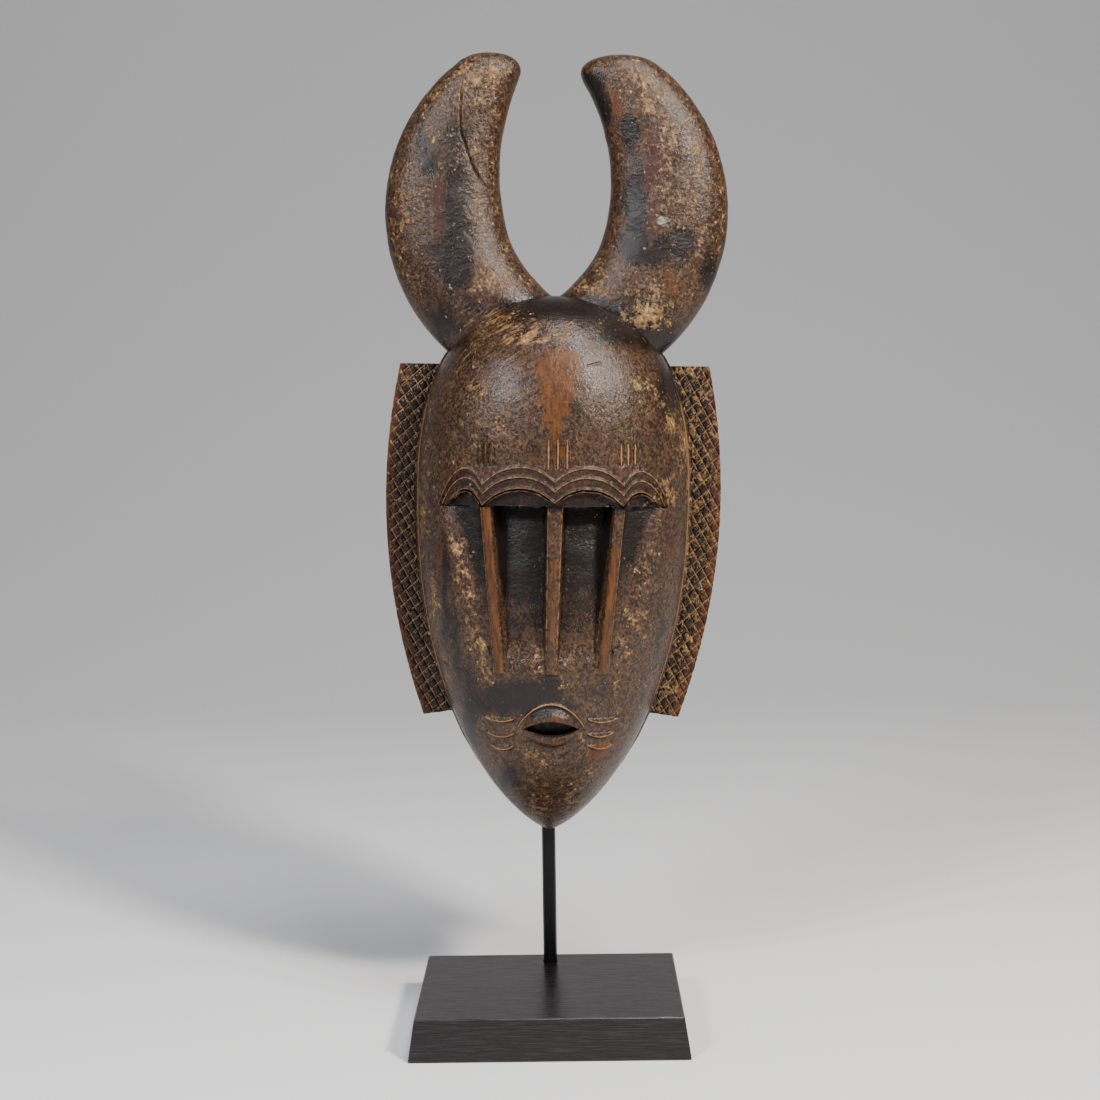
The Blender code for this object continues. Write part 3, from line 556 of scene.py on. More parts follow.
def addRelief(own, normals):
    # The carved lines and steps, set on the evened surface. Returns the new points.
    x, depth, z = own[:, 0].copy(), own[:, 1].copy(), own[:, 2].copy()
    facing = normals[:, 1]
    face = faceDepth(x, z)
    inner = np.abs(x) < halfWidth(z) - 3
    # brow terraces
    brow = inner & (z > form["shelf"] - 0.7) & (z < carving["browTop"])
    brow &= (np.abs(depth - face) < 4.2) & (facing > 0.1)
    depth = np.where(brow, face - terraceCut(x, z), depth)
    # forehead strokes
    low, high = carving["strokeZone"]
    head = inner & (z > low) & (z < high) & (np.abs(depth - face) < 1.6) & ~brow
    head |= brow & (z > low)
    depth = np.where(head, face - terraceCut(x, z) + strokeRelief(x, z)[0], depth)
    # lips, ring and side lines
    cx, cz = carving["mouth"]
    share = np.clip(np.abs(x - cx) / carving["mouthHalf"], 0, 1)
    lens = carving["mouthOpening"] / 2 * (1 - share ** 2)
    hole = (np.abs(z - cz - 0.6) < lens + 0.05) & (np.abs(x - cx - 0.3) < carving["mouthHalf"])
    low, high, half = carving["mouthZone"]
    lower = inner & (z > low) & (z < high) & (np.abs(x - cx) < half) & (depth > face - 0.6) & ~hole
    depth = np.where(lower, face + np.maximum(lipRelief(x, z)[0], whiskerRelief(x, z)[0]), depth)
    # cracks and cuts, the chip, and the uneven surface that a hand-held adze leaves
    for line, wide, deep in carving["cuts"]:
        off, along = cutDistance(x, z, line)
        taper = ease(along, 0, 0.15) * ease(along, 1, 0.8)
        depth -= deep * taper * np.exp(-(off / wide) ** 2) * (facing > 0.2)
    chipX, chipZ, radius, deep = carving["chip"]
    ragged = 1 + 0.45 * cloud(own, 1.8, 5)
    pit = ease(np.hypot((x - chipX) / 1.1, z - chipZ), radius * ragged, radius * 0.45) * (facing > 0.2)
    depth -= deep * pit * (0.75 + 0.4 * cloud(own, 1.1, 6))
    ripple = carving["handRipple"] * (cloud(own, 7, 1) + 0.5 * cloud(own, 2.6, 2))
    plain = ease(facing, 0.1, 0.4) * (np.abs(x) < halfWidth(z) + 0.5) + ease(z, 236, 244) * (facing > -0.3)
    shift = normals * (ripple * np.minimum(plain, 1))[:, None]
    # lattice on the wings
    wing = (np.abs(x) > halfWidth(z) + 1.2) & (z > form["wingFoot"]) & (z < form["wingTop"])
    wing &= (depth > form["wingFront"] - 2.2) & (depth < form["wingFront"] + 0.6) & (facing > 0.1)
    depth = np.where(wing, form["wingFront"] - latticeCut(x, z), depth)
    # gouge marks inside the hollow
    inside = inner & (facing < -0.15) & (z < 232) & (z > 12)
    strips = np.abs(np.sin(np.pi * (x / carving["gougeWidth"] + 0.35 * cloud(own, 16, 3))))
    steps = 0.6 + 0.4 * np.cos(2 * np.pi * (z / 21 + 0.5 * cloud(own, 18, 4)))
    shift -= normals * (carving["gougeDepth"] * (1 - strips) * steps * inside)[:, None]
    return np.stack([x, depth, z], axis=1) + shift


def subdivideWhere(piece, chosen):
    # Splits each chosen face once more, so that fine carving has enough vertices.
    mesh = piece.data
    mesh.vertices.foreach_set("select", np.zeros(len(mesh.vertices), bool))
    mesh.edges.foreach_set("select", np.zeros(len(mesh.edges), bool))
    mesh.polygons.foreach_set("select", chosen)
    bpy.context.tool_settings.mesh_select_mode = (False, False, True)
    bpy.ops.object.mode_set(mode="EDIT")
    bpy.ops.mesh.subdivide(number_cuts=1)
    bpy.ops.object.mode_set(mode="OBJECT")


def faceMiddles(mesh):
    middles = np.empty(len(mesh.polygons) * 3)
    mesh.polygons.foreach_get("center", middles)
    return middles.reshape(-1, 3)


bpy.ops.object.select_all(action="DESELECT")
mask = bpy.data.objects.new("carvedMask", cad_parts["mask"].data.copy())
bpy.context.scene.collection.objects.link(mask)
bpy.context.view_layer.objects.active = mask
mask.select_set(True)
mask.data.materials.clear()
bpy.ops.object.mode_set(mode="EDIT")
bpy.ops.mesh.select_all(action="SELECT")
bpy.ops.mesh.remove_doubles(threshold=0.00001)
bpy.ops.object.mode_set(mode="OBJECT")
even = mask.modifiers.new("evenMesh", "REMESH")
even.mode = "VOXEL"
even.voxel_size = carving["voxel"] * mm
bpy.ops.object.modifier_apply(modifier=even.name)
print("mask evened:", len(mask.data.vertices), "vertices")

smoothing = {
    "back": (8, 1.04),  # rounds, and the share of each step that is taken back
    "front": (70, 0),
    "tips": (321, 332), "hornRoots": (222, 236, 240, 252), "footReach": (7, 3), "edgeReach": (4, 1.5),  # mm
}
own = faceFit(toMask(readPoints(mask.data)), 1.2)
for hornSide in (-1, 1):
    own = hornFit(own, hornSide)
facing = -(readNormals(mask.data) @ leaning)[:, 1]
own = barFit(visorFit(own, facing), facing)
x, depth, z = own.T
behind = (np.abs(x) < halfWidth(z) - 4) & (depth < faceDepth(x, z) - 5) & (facing < 0.2)
behind |= depth < 3
low, full, fading, high = smoothing["hornRoots"]
rim = ease(z, low, full) * ease(z, high, fading) * ease(depth, 10, 16)  # where the horns grow out
own = softened(own, readEdges(mask.data), np.maximum(behind, rim), *smoothing["back"])
tips = ease(z, *smoothing["tips"]) * (np.abs(x) > 2)
foot = ease(np.abs(z - form["visorFoot"] - 1), *smoothing["footReach"])  # the visor's lower line
foot = foot * (np.abs(x) < 46) * (np.abs(barAcross(x, z)[0]) > 1.3)
slant = (z - form["visorFoot"]) / (form["shelf"] - form["visorFoot"])
panelEdge = form["visorFootHalf"] + (form["visorTopHalf"] - form["visorFootHalf"]) * slant
sides = ease(np.abs(np.abs(x) - panelEdge), *smoothing["edgeReach"]) * (z < 150.5) * (z > 78)
soft = np.maximum(foot, sides) * (facing > 0.3) * (depth > faceDepth(x, z) - 4)
own = softened(own, readEdges(mask.data), np.maximum(tips, soft), *smoothing["front"])
writePoints(mask.data, toFrame(own))

fineAreas = (  # middle x, half width, lowest and highest z, least depth, mm
    (-29.2, 6, 167, 183, 30), (2, 7, 166, 183, 30), (32.4, 6, 167, 183, 30),  # the short strokes
    (0, 33, 40, 68, 35),  # the mouth and its side lines
)
x, depth, z = toMask(faceMiddles(mask.data)).T
fine = (np.abs(x) < 53) & (z > 151) & (z < 170) & (depth > faceDepth(x, z) - 4)  # the brow
for middle, half, low, high, least in fineAreas:
    fine |= (np.abs(x - middle) < half) & (z > low) & (z < high) & (depth > least)
for line, _, _ in carving["cuts"]:
    fine |= (cutDistance(x, z, line)[0] < 1.6) & (depth > 20)
fine |= (np.hypot(x - carving["chip"][0], z - carving["chip"][1]) < 5) & (depth > 20)
fine |= (np.abs(x) > halfWidth(z) + 1) & (depth > 11) & (depth < 14) & (z > 54) & (z < 214)  # the lattice
subdivideWhere(mask, fine)
print("mask refined:", len(mask.data.vertices), "vertices")

own = toMask(readPoints(mask.data))
normals = readNormals(mask.data) @ leaning
normals[:, 1] *= -1
own = addRelief(openMouth(own), normals)
writePoints(mask.data, toFrame(own))
print("mask carved")

thin = mask.modifiers.new("thinnedMesh", "DECIMATE")
thin.ratio = min(1, carving["triangles"] / (2 * len(mask.data.polygons)))
bpy.ops.object.modifier_apply(modifier=thin.name)
bpy.ops.object.shade_smooth_by_angle(angle=math.radians(50))
print("mask thinned:", len(mask.data.polygons), "faces")


# Wear and painted shade: worn, red, blackened and dusty places on the mask's front, each x, z, half width,
# half height, strength; the blackened rows at the foot of the brow, z 152 to 160, are painted shade

wear = {
    "rubbed": [
        (2.6, 212.5, 10, 9.5, 1), (0.5, 201, 7.6, 9.4, 0.95), (0.8, 188, 4.6, 9.4, 0.75),
        (2, 177.3, 6, 4.3, 0.5),
        (-12.8, 161.3, 11.1, 3.8, 0.45), (-49.1, 129.4, 1.8, 9.6, 0.8), (52.5, 132.5, 2.2, 5.7, 0.6),
        (49.4, 121.7, 2.6, 11, 0.3), (1.1, 59, 4.8, 0.9, 1), (1.2, 47.6, 5.3, 0.9, 1),
        (22.9, 42.8, 5.8, 4.4, 0.95), (27.7, 50.5, 2.7, 4, 0.6), (17.3, 38, 4, 4, 0.6),
        (26.1, 328.9, 2, 6.3, 0.95), (68.5, 307.9, 1.4, 9.9, 0.7), (73.2, 294.5, 1.4, 9.9, 0.7),
        (50.8, 248.5, 7.1, 6.2, 0.7), (24.3, 308.1, 2.7, 20.3, 0.5), (23.4, 279.9, 3.2, 15.8, 0.5),
        (-22.9, 321.8, 2.7, 11.4, 0.65), (-62.3, 279.3, 3.1, 6.3, 0.35), (-61.2, 261, 3.6, 5.4, 0.45),
        (-73.7, 277.1, 1.4, 27, 0.55), (21.6, 178.7, 6.8, 6, 0.3), (38.1, 128.7, 4.3, 6.1, 0.25),
        (49.4, 92.2, 2.2, 13.3, 0.4)],
    "ruddy": [
        (-51.7, 285.5, 4, 9.8, 1), (-48.5, 275, 2.7, 4.5, 0.6), (42.2, 302.2, 3.6, 14.3, 0.95),
        (41.7, 273.3, 1.8, 8, 0.9), (19.9, 180.8, 9.4, 6, 0.5), (-21.2, 47.8, 6.6, 4.4, 0.5),
        (-14.1, 161.2, 12.8, 3, 0.5), (50.5, 137.1, 3.5, 10.5, 0.5), (27.1, 55.1, 5.3, 8.8, 0.4),
        (-37.4, 69.6, 3.5, 5.3, 0.3)],
    # blackened places: dark patina, and painted shade in the rows at the foot of the brow
    "blackenedAndShaded": [
        (-46, 285, 8, 26, 0.5), (-47, 262, 9, 13, 0.5), (-58, 262, 5, 20, 0.4), (36, 286, 6, 22, 0.5),
        (42, 262, 13, 8, 0.6), (0, 62, 10, 2.6, 0.8), (0, 49, 9, 1.2, 0.4),
        (-2, 236, 36, 6, 0.6), (-40, 219, 9, 12, 0.45), (48, 207, 7, 22, 0.6), (30, 228, 16, 8, 0.5),
        (-57.1, 301.2, 5.4, 5.8, 0.9), (-43.7, 281.2, 4, 13.4, 0.9), (-43.4, 255.3, 6.2, 9.8, 0.8),
        (-44.1, 314, 5.8, 6.3, 0.6), (-48.7, 230.4, 7.1, 8, 0.7), (-58.6, 313.1, 3.2, 7.2, 0.6),
        (17.3, 334.9, 4.1, 10, 1), (21.4, 326.2, 3.6, 6.3, 0.9), (31.5, 316.7, 3.6, 11.2, 0.8),
        (32.9, 279.1, 3.6, 15.2, 0.9), (39.2, 262.8, 10.7, 4.9, 1), (54.1, 269.1, 5.8, 6.2, 0.9),
        (67.4, 254.7, 4.5, 9.9, 0.7), (52.8, 303.2, 1.8, 11.2, 0.5), (36.7, 290, 2.7, 13.4, 0.5),
        (2.1, 239.4, 30.8, 4, 0.8), (37.4, 230.8, 13.3, 7.1, 0.6), (52.8, 210.5, 6.3, 15.4, 0.5),
        (-13.8, 70.6, 14, 6.6, 1), (-1.2, 72.7, 6.1, 5.2, 1), (-35.7, 59.4, 4, 21.3, 0.8),
        (-17.8, 29.2, 4.5, 6.3, 0.95), (-46.8, 114.1, 2.2, 26.3, 0.8), (-41.8, 92.1, 2.2, 17.6, 0.7),
        (47.8, 97, 2.2, 26.5, 0.5), (-7.4, 176.3, 3.4, 6, 0.6), (8.7, 190.1, 3.4, 11.1, 0.5),
        (-26.9, 152.3, 25.8, 2.1, 0.6), (15.9, 160.3, 14.5, 2.6, 0.5), (-19.9, 64.3, 13.2, 6.1, 0.7),
        (21.5, 71.6, 8.7, 5.2, 0.5), (62.8, 107.2, 4.6, 27.4, 0.3), (-1.2, 155.1, 25.6, 3, 0.6)],
    "dusty": [
        (-28.6, 343.5, 9.9, 6.3, 0.8), (-33.7, 332.1, 10.8, 11.7, 0.65), (-38.7, 340.8, 9, 7.2, 0.5),
        (-29.3, 247.6, 14.2, 8, 0.75), (-24.7, 263.3, 6.7, 13.4, 0.55), (-60.9, 315.4, 3.2, 9.9, 0.55),
        (-68.3, 294.8, 2.2, 1.8, 1), (-62.3, 282.4, 3.1, 7.2, 0.7), (-61.2, 260.5, 4, 6.3, 0.6),
        (-36.1, 306.8, 3.6, 7.2, 0.7), (-29.5, 294.1, 2.7, 8.1, 0.5), (40.1, 330.6, 8.1, 16.2, 0.7),
        (50.4, 316.3, 5.4, 13.5, 0.6), (61.6, 303.5, 3.1, 20.2, 0.7), (58.8, 279.3, 5.4, 13.4, 0.6),
        (39.5, 236.1, 11.5, 7.1, 1), (15.2, 245.6, 11.6, 2.7, 1), (24.5, 299.6, 2.3, 27.1, 0.45),
        (46, 246.2, 8.9, 7.1, 0.6), (34.9, 297.9, 1.3, 8.1, 0.7), (36.1, 338, 13.5, 4.1, 0.7),
        (-15, 225.4, 20.8, 3.9, 0.85), (-24, 232.9, 14.9, 3.1, 0.7), (2.2, 227.7, 13, 2.6, 0.6),
        (15.2, 231.4, 11.3, 1.7, 0.6), (-33.2, 217.9, 7.8, 3.5, 0.6), (-34, 200.6, 5.2, 2.2, 0.6),
        (-38.8, 212.3, 4.4, 6.1, 0.5), (-25.1, 188.8, 10.3, 9.4, 0.4), (-35.9, 184.3, 8.6, 14.7, 0.3),
        (37, 205.7, 6.1, 3.5, 0.8), (46, 197.2, 5.7, 4.4, 0.9), (52.5, 187.6, 4.4, 6.1, 0.95),
        (57.5, 177, 3.1, 8, 1), (59.9, 160.4, 2.2, 12.5, 0.9), (62.1, 137.1, 2.7, 15.4, 0.9),
        (59.8, 112, 2.3, 13.6, 0.6), (48.2, 164.3, 3.9, 3.5, 0.9), (52, 155.9, 4.4, 4.4, 1),
        (44.1, 158.4, 4.3, 3.5, 0.5), (37.7, 154.9, 9.5, 2.2, 0.5), (-55.3, 183.7, 2.2, 26.5, 0.6),
        (-57.9, 143.9, 2.7, 22.2, 0.75), (-53.6, 103.9, 2.7, 22.2, 0.8), (-46.9, 72.3, 2.7, 13.4, 0.7),
        (-42.3, 134.2, 3.5, 5.2, 0.95), (-37.4, 127.8, 3.9, 8.7, 0.7), (-35.5, 110.4, 6.1, 17.4, 0.5),
        (-31, 88.5, 4.4, 10.5, 0.7), (-26.6, 75.3, 4.4, 3.5, 0.6), (-24, 165.4, 7.7, 2.6, 0.3),
        (31.9, 106, 2.6, 4.4, 1), (35.9, 101.6, 3.5, 3, 0.9), (38.7, 96.1, 2.2, 2.6, 0.9),
        (42.8, 111.1, 5.2, 13.1, 0.5), (30, 89.3, 5.2, 10.5, 0.6), (38.1, 128.7, 7, 8.7, 0.4),
        (25, 72.4, 5.3, 3.5, 0.75), (4, 76.4, 2.2, 6.1, 0.8), (7.5, 71.9, 1.7, 2.2, 1),
        (-4.4, 89.3, 2.6, 11.3, 0.8), (-7.7, 76.2, 2.6, 3.5, 0.5), (6.3, 106.7, 2.6, 26.1, 0.55),
        (-2.9, 111.4, 1.3, 25.9, 0.6), (-6.6, 41.5, 8, 2.2, 0.9), (-2.2, 39.2, 6.2, 2.7, 0.6),
        (-8.8, 31.6, 2.2, 3.6, 0.6), (17.8, 33.9, 5.4, 10.7, 0.6), (2.4, 24.2, 11.7, 8.1, 0.45),
        (10, 18.5, 3.6, 6.3, 0.7), (-6.6, 12.7, 6.4, 5.5, 0.6), (-24.5, 37.6, 4.5, 2.7, 0.6),
        (30.6, 59.5, 4.4, 6.2, 0.6), (39.5, 65.5, 4.4, 8.9, 0.4), (-33.4, 55.9, 2.7, 5.3, 0.35),
        (46.4, 83.3, 4.4, 13.3, 0.35), (-14.6, 54.4, 1.8, 3.5, 0.8), (14.8, 51, 2.6, 2.6, 0.9)],
}


def patches(x, z, rows):
    left = np.ones(len(x))
    for cx, cz, wide, high, strength in rows:
        left *= 1 - strength * np.exp(-0.8 * (((x - cx) / wide) ** 2 + ((z - cz) / high) ** 2))
    return 1 - left


own = toMask(readPoints(mask.data))
normals = readNormals(mask.data) @ leaning
normals[:, 1] *= -1
x, depth, z = own.T
wanderX = x + 2.6 * cloud(own, 8, 11) + cloud(own, 2.7, 12)  # the patches' edges wander
wanderZ = z + 2.6 * cloud(own, 8, 13)
worn = {kind: patches(wanderX, wanderZ, rows) for kind, rows in wear.items()}
face = faceDepth(x, z)
front = ease(normals[:, 1], -0.25, 0.15) * ease(depth, 4, 9)
onWing = (np.abs(x) > halfWidth(z) + 1.2) & (z > 50) & (z < 215)
onHorn = ease(z, 236, 246) * ease(np.abs(depth - face), 0, 3)
# painted shade: the grooves and outer panels under the brow are darkened in the blackened zone and kept
# free of rubbed and dusty colour, as the brow and bars shade them
shadedRecess = ease(face - depth, 1.5, 6) * (np.abs(x) < 50) * (z > 78) * (z < 153) * front
across, rise = barAcross(x, z)
onBar = (np.abs(across) < 1.25) & (rise > 0.005) & (rise < 1) & (depth > face - 1.3)
bare = np.where(x < -10, 0.95, np.where(x > 10, ease(rise, 0.86, 0.66), ease(rise, 0.85, 0.62) * 0.62))
barRubbed = bare * ease(np.abs(across + 0.2 * np.sign(x)), 0.95, 0.6)
rubbed = np.where(onBar, barRubbed, worn["rubbed"] * (1 - shadedRecess))
edgeGap = wingEdge(z) - np.abs(x)
outer = np.where(x < 0, ease(edgeGap, 2.2, 1.2) * 0.6, ease(edgeGap, 7, 3) * ease(z, 190, 150) * 0.55)
storeValues(mask.data, "rubbed", np.where(onWing, outer, rubbed) * front)
underBrow = ease(z, 151, 153) * ease(z, 172, 168) * (np.abs(x) < 50)
height, underArch = archHeight(x)
ruddy = np.maximum(worn["ruddy"], underBrow * underArch * 0.45)
storeValues(mask.data, "ruddy", np.where(onWing, ease(edgeGap, 8, 2) * 0.7, ruddy) * front)
# painted shade: the lunette under the lowest brow line is blackened where the brow's shadow falls, and the
# bands under the arch lines are darkened
lunetteShade = ease(height - z, 8.6, 9.4) * underArch * (z > 151) * (z < 163)
bands = underBrow * underArch * (z < height + 0.5) * 0.42
# painted shade, darkest towards the top of the grooves where the brow's shadow falls
paintedGrooveShade = shadedRecess * (0.5 + 0.45 * ease(z, 95, 140))
blackenedAndShaded = np.maximum(np.maximum(worn["blackenedAndShaded"], paintedGrooveShade), np.maximum(lunetteShade * 0.95, bands))
blackenedAndShaded *= 1 - 0.8 * onBar * bare
storeValues(mask.data, "blackenedAndShaded", np.where(onWing, 0.75 * (1 - outer), blackenedAndShaded) * front)
dusty = np.maximum(worn["dusty"], onHorn * 0.45) * (1 - 0.6 * shadedRecess)
dusty *= 1 - 0.75 * np.maximum(worn["blackenedAndShaded"] * onHorn, onBar)
storeValues(mask.data, "dusty", np.where(onWing, 0.25 + 0.3 * (x > 0), dusty) * front)
storeValues(mask.data, "streaky", ease(z, 186, 205) * ease(z, 246, 238) * ease(x, 24, 4) * front)
side = np.where(x < 0, -1, 1)
lattice = np.minimum(grooveDistance(x, z, side, 0), grooveDistance(x, z, side, 1))
# pale edge lines: dust in the lattice grooves and worn arrises, partly painted highlight along the brow
# lines, strokes, whisker rims and mouth ring
lines = np.zeros(len(x))
for drop in carving["archDrops"]:
    lines = np.maximum(lines, np.exp(-((z - height + drop - 0.3) / 0.36) ** 2) * underArch * 0.72)
lines *= (z > 151.5) & (np.abs(depth - face) < 4)
lines = np.maximum(lines, strokeRelief(x, z)[1] * (np.abs(depth - face) < 2))
mouthLines = np.maximum(whiskerRelief(x, z)[1] * 0.8, lipRelief(x, z)[1] * 0.85)
lines = np.maximum(lines, mouthLines * (depth > face - 1))
barEdge = np.exp(-((np.abs(across) - 1.0) / 0.14) ** 2) * onBar
lines = np.maximum(lines, barEdge * np.where(across * np.sign(x + 0.01) > 0, 0.62, 0.4))
rimLine = np.exp(-((halfWidth(z) - 0.6 - np.abs(x)) / 0.6) ** 2) * ease(z, 58, 70)
lines = np.maximum(lines, rimLine * ease(z, 212, 190) * 0.75 * (depth > 9))
storeValues(mask.data, "lines", np.where(onWing, ease(lattice, 0.45, 0.12) * 0.62, lines) * front)
chipX, chipZ, radius, _ = carving["chip"]
ragged = radius * (1 + 0.6 * cloud(own, 2, 5))
fromChip = np.hypot((x - chipX) / 1.1, z - chipZ)
storeValues(mask.data, "chipped", ease(fromChip, ragged, ragged * 0.4) * front)
storeValues(mask.data, "bareInside", 1 - front)
print("wear placed")


# Old hardwood under a dark, handled patina: glossy soot and oil on the high places, rubbed to red-brown
# wood where hands held it, with a fine pale dust that lies in the open grain and in every cut. The black
# film also carries painted shade in the grooves and under the brow, and the pale edge lines carry painted
# highlights along the carved edges

wood, woodTree, woodShader = newMaterial("oldPatinatedHardwood", {"IOR": 1.5, "Specular IOR Level": 0.3})
place = addNode(woodTree, "ShaderNodeTexCoord", output=3)
# each grain: size in mm, detail, roughness, how much longer it is along x, y, z, turn in degrees
woodGrain = {
    "broad": (13, 3, 0.5, (1, 1, 1), 0),
    "mottled": (4.2, 5, 0.6, (1, 1, 1), 0),
    "speckled": (1.9, 5, 0.66, (1, 1, 1), 0),
    "flecked": (1.5, 3, 0.6, (1, 1, 1.3), 0),
    "fine": (0.9, 3, 0.6, (1, 1, 1.4), 0),
    "fibres": (1.3, 4, 0.6, (1, 1, 9), 0),
    "streaks": (1.6, 4, 0.62, (6, 1, 1), -29),
}
grain = {}
for i, (name, (size, detail, rough, longer, turn)) in enumerate(woodGrain.items()):
    spread = addNode(woodTree, "ShaderNodeMapping", {"vector_type": "TEXTURE"}, {
        "Vector": place, "Location": (0.13 * i, 0.07 * i, 0.11 * i), "Scale": longer,
        "Rotation": (0, math.radians(turn), 0)})
    grain[name] = addNode(woodTree, "ShaderNodeTexNoise", {}, {
        "Vector": spread, "Scale": 1 / (size * mm), "Detail": detail, "Roughness": rough})
zones = {name: addNode(woodTree, "ShaderNodeAttribute", {"attribute_name": name}, output=2)
         for name in ("rubbed", "ruddy", "blackenedAndShaded", "dusty", "streaky", "lines", "chipped", "bareInside")}
grain["speckled"] = addNode(woodTree, "ShaderNodeMix", {}, {
    0: zones["streaky"], 2: grain["speckled"], 3: grain["streaks"]})

# each layer: grains and their shares, zone and its push, the level where it starts and where it is full,
# strength, two colours and the grain that mixes them, roughness
woodLayers = {
    "darkSpeckle": (
        (("speckled", 0.5), ("fine", 0.5)), None, 0, 0.53, 0.45, 0.85,
        "#1d140e", "#140d0b", "mottled", 0.28),
    "lightGrain": (
        (("fine", 0.6), ("mottled", 0.4)), None, 0, 0.52, 0.60, 0.6,
        "#553d2b", "#614630", "broad", 0.32),
    # real soot and oil, and painted shade where the blackened zone covers the grooves and the brow's
    # underside
    "blackFilmAndShade": (
        (("mottled", 0.5), ("broad", 0.5)), "blackenedAndShaded", 0.6, 0.62, 0.92, 0.94,
        "#0b0706", "#150e0b", "fine", 0.25),
    "redStain": (
        (("mottled", 0.5), ("fibres", 0.5)), "ruddy", 0.6, 0.72, 0.92, 0.85,
        "#210a06", "#35120a", "fibres", 0.4),
    "dustFilm": (
        (("speckled", 0.62), ("mottled", 0.38)), "dusty", 0.22, 0.63, 0.73, 0.8,
        "#674b2b", "#805f36", "fine", 0.6),
    "rubbedWood": (
        (("mottled", 0.5), ("speckled", 0.5)), "rubbed", 0.6, 0.76, 0.90, 0.92,
        "#341a08", "#5a330a", "fibres", 0.34),
    "paleFlecks": (
        (("flecked", 0.7), ("mottled", 0.3)), "dusty", 0.12, 0.66, 0.69, 0.85,
        "#896a3b", "#a08a60", "speckled", 0.75),
    # pale edges: worn and dusty arrises, and painted highlights along the carved lines
    "paleWearAndHighlights": (
        (("speckled", 0.5), ("fine", 0.5)), "lines", 0.8, 0.80, 1.02, 0.85,
        "#7d5835", "#93704a", "speckled", 0.6),
    "freshChip": (
        (("fine", 0.5), ("speckled", 0.5)), "chipped", 0.75, 0.84, 1.0, 0.92,
        "#4e4842", "#8a847c", "speckled", 0.8),
    "bareInside": (
        (("mottled", 0.2),), "bareInside", 1, 0.5, 0.9, 1,
        "#291a0d", "#4e351c", "fibres", 0.75),
}
colour = addNode(woodTree, "ShaderNodeMix", {"data_type": "RGBA"}, {
    0: grain["broad"], 6: linear("#37281e"), 7: linear("#4a3422")}, 2)
rough = addNode(woodTree, "ShaderNodeMapRange", {}, {
    "Value": grain["mottled"], "From Min": 0.3, "From Max": 0.7, "To Min": 0.15, "To Max": 0.36})
height = addNode(woodTree, "ShaderNodeMath", {"operation": "MULTIPLY_ADD"}, {
    0: grain["fine"], 1: 0.5, 2: grain["speckled"]})
for name, (shares, zone, push, start, full, strength, first, second, mixer, gloss) in woodLayers.items():
    level = addNode(woodTree, "ShaderNodeMath", {"operation": "MULTIPLY"}, {
        0: zones[zone] if zone else 0.0, 1: push})
    for grainName, share in shares:
        level = addNode(woodTree, "ShaderNodeMath", {"operation": "MULTIPLY_ADD"}, {
            0: grain[grainName], 1: share, 2: level})
    amount = addNode(woodTree, "ShaderNodeMapRange", {"interpolation_type": "SMOOTHSTEP"}, {
        "Value": level, "From Min": start, "From Max": full, "To Max": strength})
    spread = addNode(woodTree, "ShaderNodeMapRange", {}, {
        "Value": grain[mixer], "From Min": 0.38, "From Max": 0.62})
    paint = addNode(woodTree, "ShaderNodeMix", {"data_type": "RGBA"}, {
        0: spread, 6: linear(first), 7: linear(second)}, 2)
    colour = addNode(woodTree, "ShaderNodeMix", {"data_type": "RGBA"}, {0: amount, 6: colour, 7: paint}, 2)
    rough = addNode(woodTree, "ShaderNodeMix", {}, {0: amount, 2: rough, 3: gloss})
    if name in ("dustFilm", "paleFlecks"):  # dust lies a little proud
        height = addNode(woodTree, "ShaderNodeMath", {"operation": "MULTIPLY_ADD"}, {
            0: amount, 1: 0.25, 2: height})
bump = addNode(woodTree, "ShaderNodeBump", {}, {"Height": height, "Strength": 0.8, "Distance": 0.4 * mm})
for output, socket in ((colour, "Base Color"), (rough, "Roughness"), (bump, "Normal")):
    woodTree.links.new(output, woodShader.inputs[socket])
mask.data.materials.append(wood)
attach(mask, "root")
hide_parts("mask")
print("mask dressed")


# Black-stained open-grained board, satin varnish: fine paler pores that run along x

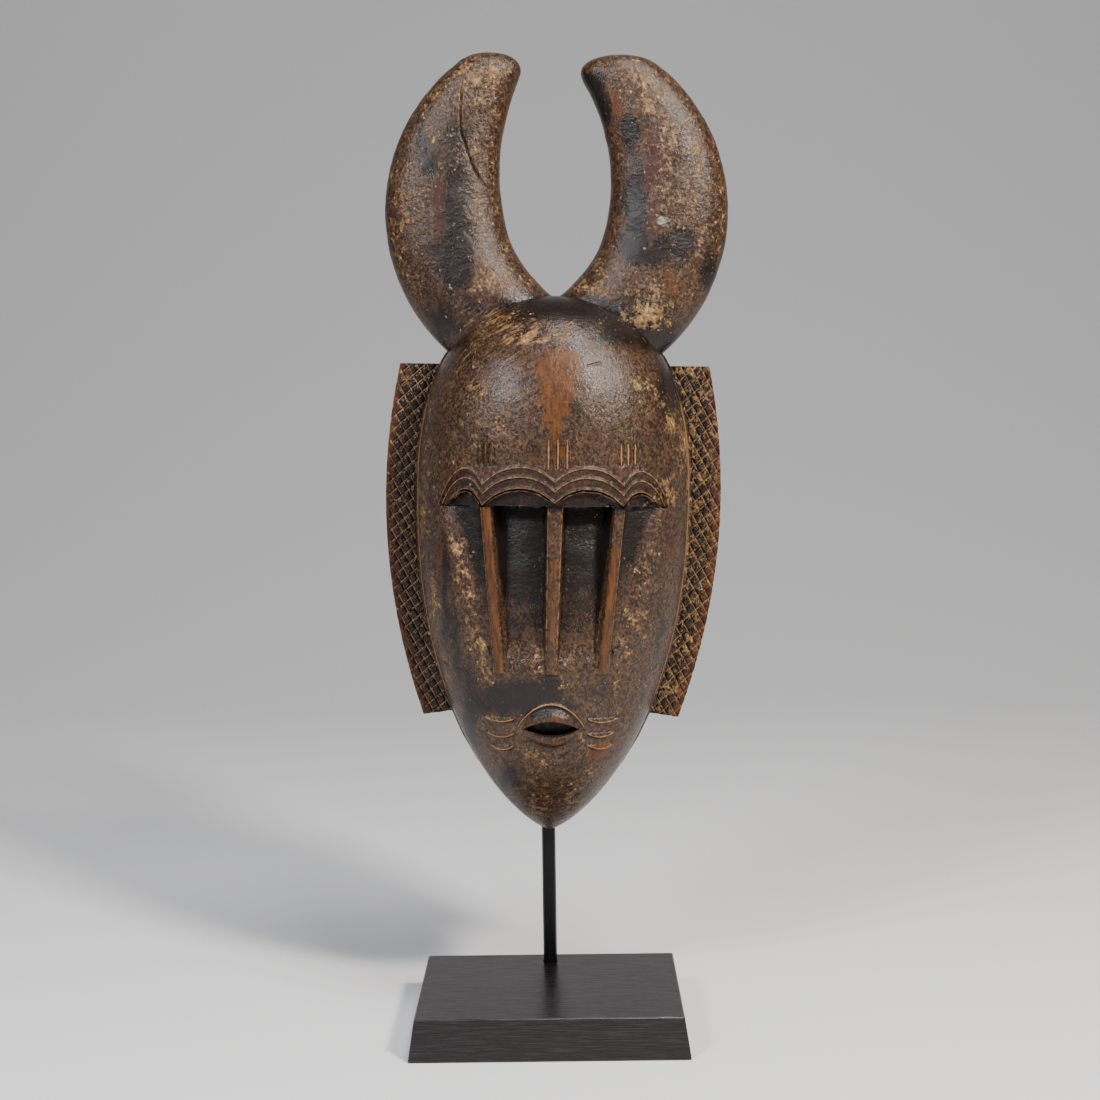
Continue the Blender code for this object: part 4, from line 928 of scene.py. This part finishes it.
stained, stainedTree, stainedShader = newMaterial("blackStainedOak", {"IOR": 1.5})
place = addNode(stainedTree, "ShaderNodeTexCoord", output=3)
along = addNode(stainedTree, "ShaderNodeMapping", {}, {"Vector": place, "Scale": (0.045, 1, 1)})
pores = addNode(stainedTree, "ShaderNodeTexNoise", {}, {
    "Vector": along, "Scale": 1 / (0.55 * mm), "Detail": 5, "Roughness": 0.6})
poreMask = addNode(stainedTree, "ShaderNodeMapRange", {}, {
    "Value": pores, "From Min": 0.52, "From Max": 0.72})
stain = addNode(stainedTree, "ShaderNodeMix", {"data_type": "RGBA"}, {
    0: poreMask, 6: linear("#0d0a0b"), 7: linear("#271e21")}, 2)
varnish = addNode(stainedTree, "ShaderNodeMapRange", {}, {
    "Value": pores, "From Min": 0.4, "From Max": 0.65, "To Min": 0.2, "To Max": 0.42})
grainBump = addNode(stainedTree, "ShaderNodeBump", {}, {
    "Height": pores, "Strength": 0.3, "Distance": 0.2 * mm})
for output, socket in ((stain, "Base Color"), (varnish, "Roughness"), (grainBump, "Normal")):
    stainedTree.links.new(output, stainedShader.inputs[socket])


# Blackened mild steel rod: drawn bar, so its faint marks run up it, under a satin black finish

steel, steelTree, steelShader = newMaterial("blackenedSteel", {
    "Base Color": linear("#1b1b1d"), "Metallic": 0.85})
place = addNode(steelTree, "ShaderNodeTexCoord", output=3)
drawn = addNode(steelTree, "ShaderNodeMapping", {}, {"Vector": place, "Scale": (1, 1, 0.05)})
marks = addNode(steelTree, "ShaderNodeTexNoise", {}, {
    "Vector": drawn, "Scale": 1 / (0.5 * mm), "Detail": 3})
steelRough = addNode(steelTree, "ShaderNodeMapRange", {}, {
    "Value": marks, "From Min": 0.3, "From Max": 0.7, "To Min": 0.3, "To Max": 0.48})
steelTree.links.new(steelRough, steelShader.inputs["Roughness"])
for nodeName, finish in (("base", stained), ("stem", steel)):
    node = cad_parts[nodeName]
    node.data.materials.clear()
    node.data.materials.append(finish)
print("base and stem dressed")

size = {"cad": cadBox, "visual": [list(corner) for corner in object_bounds()]}
print("size", size)
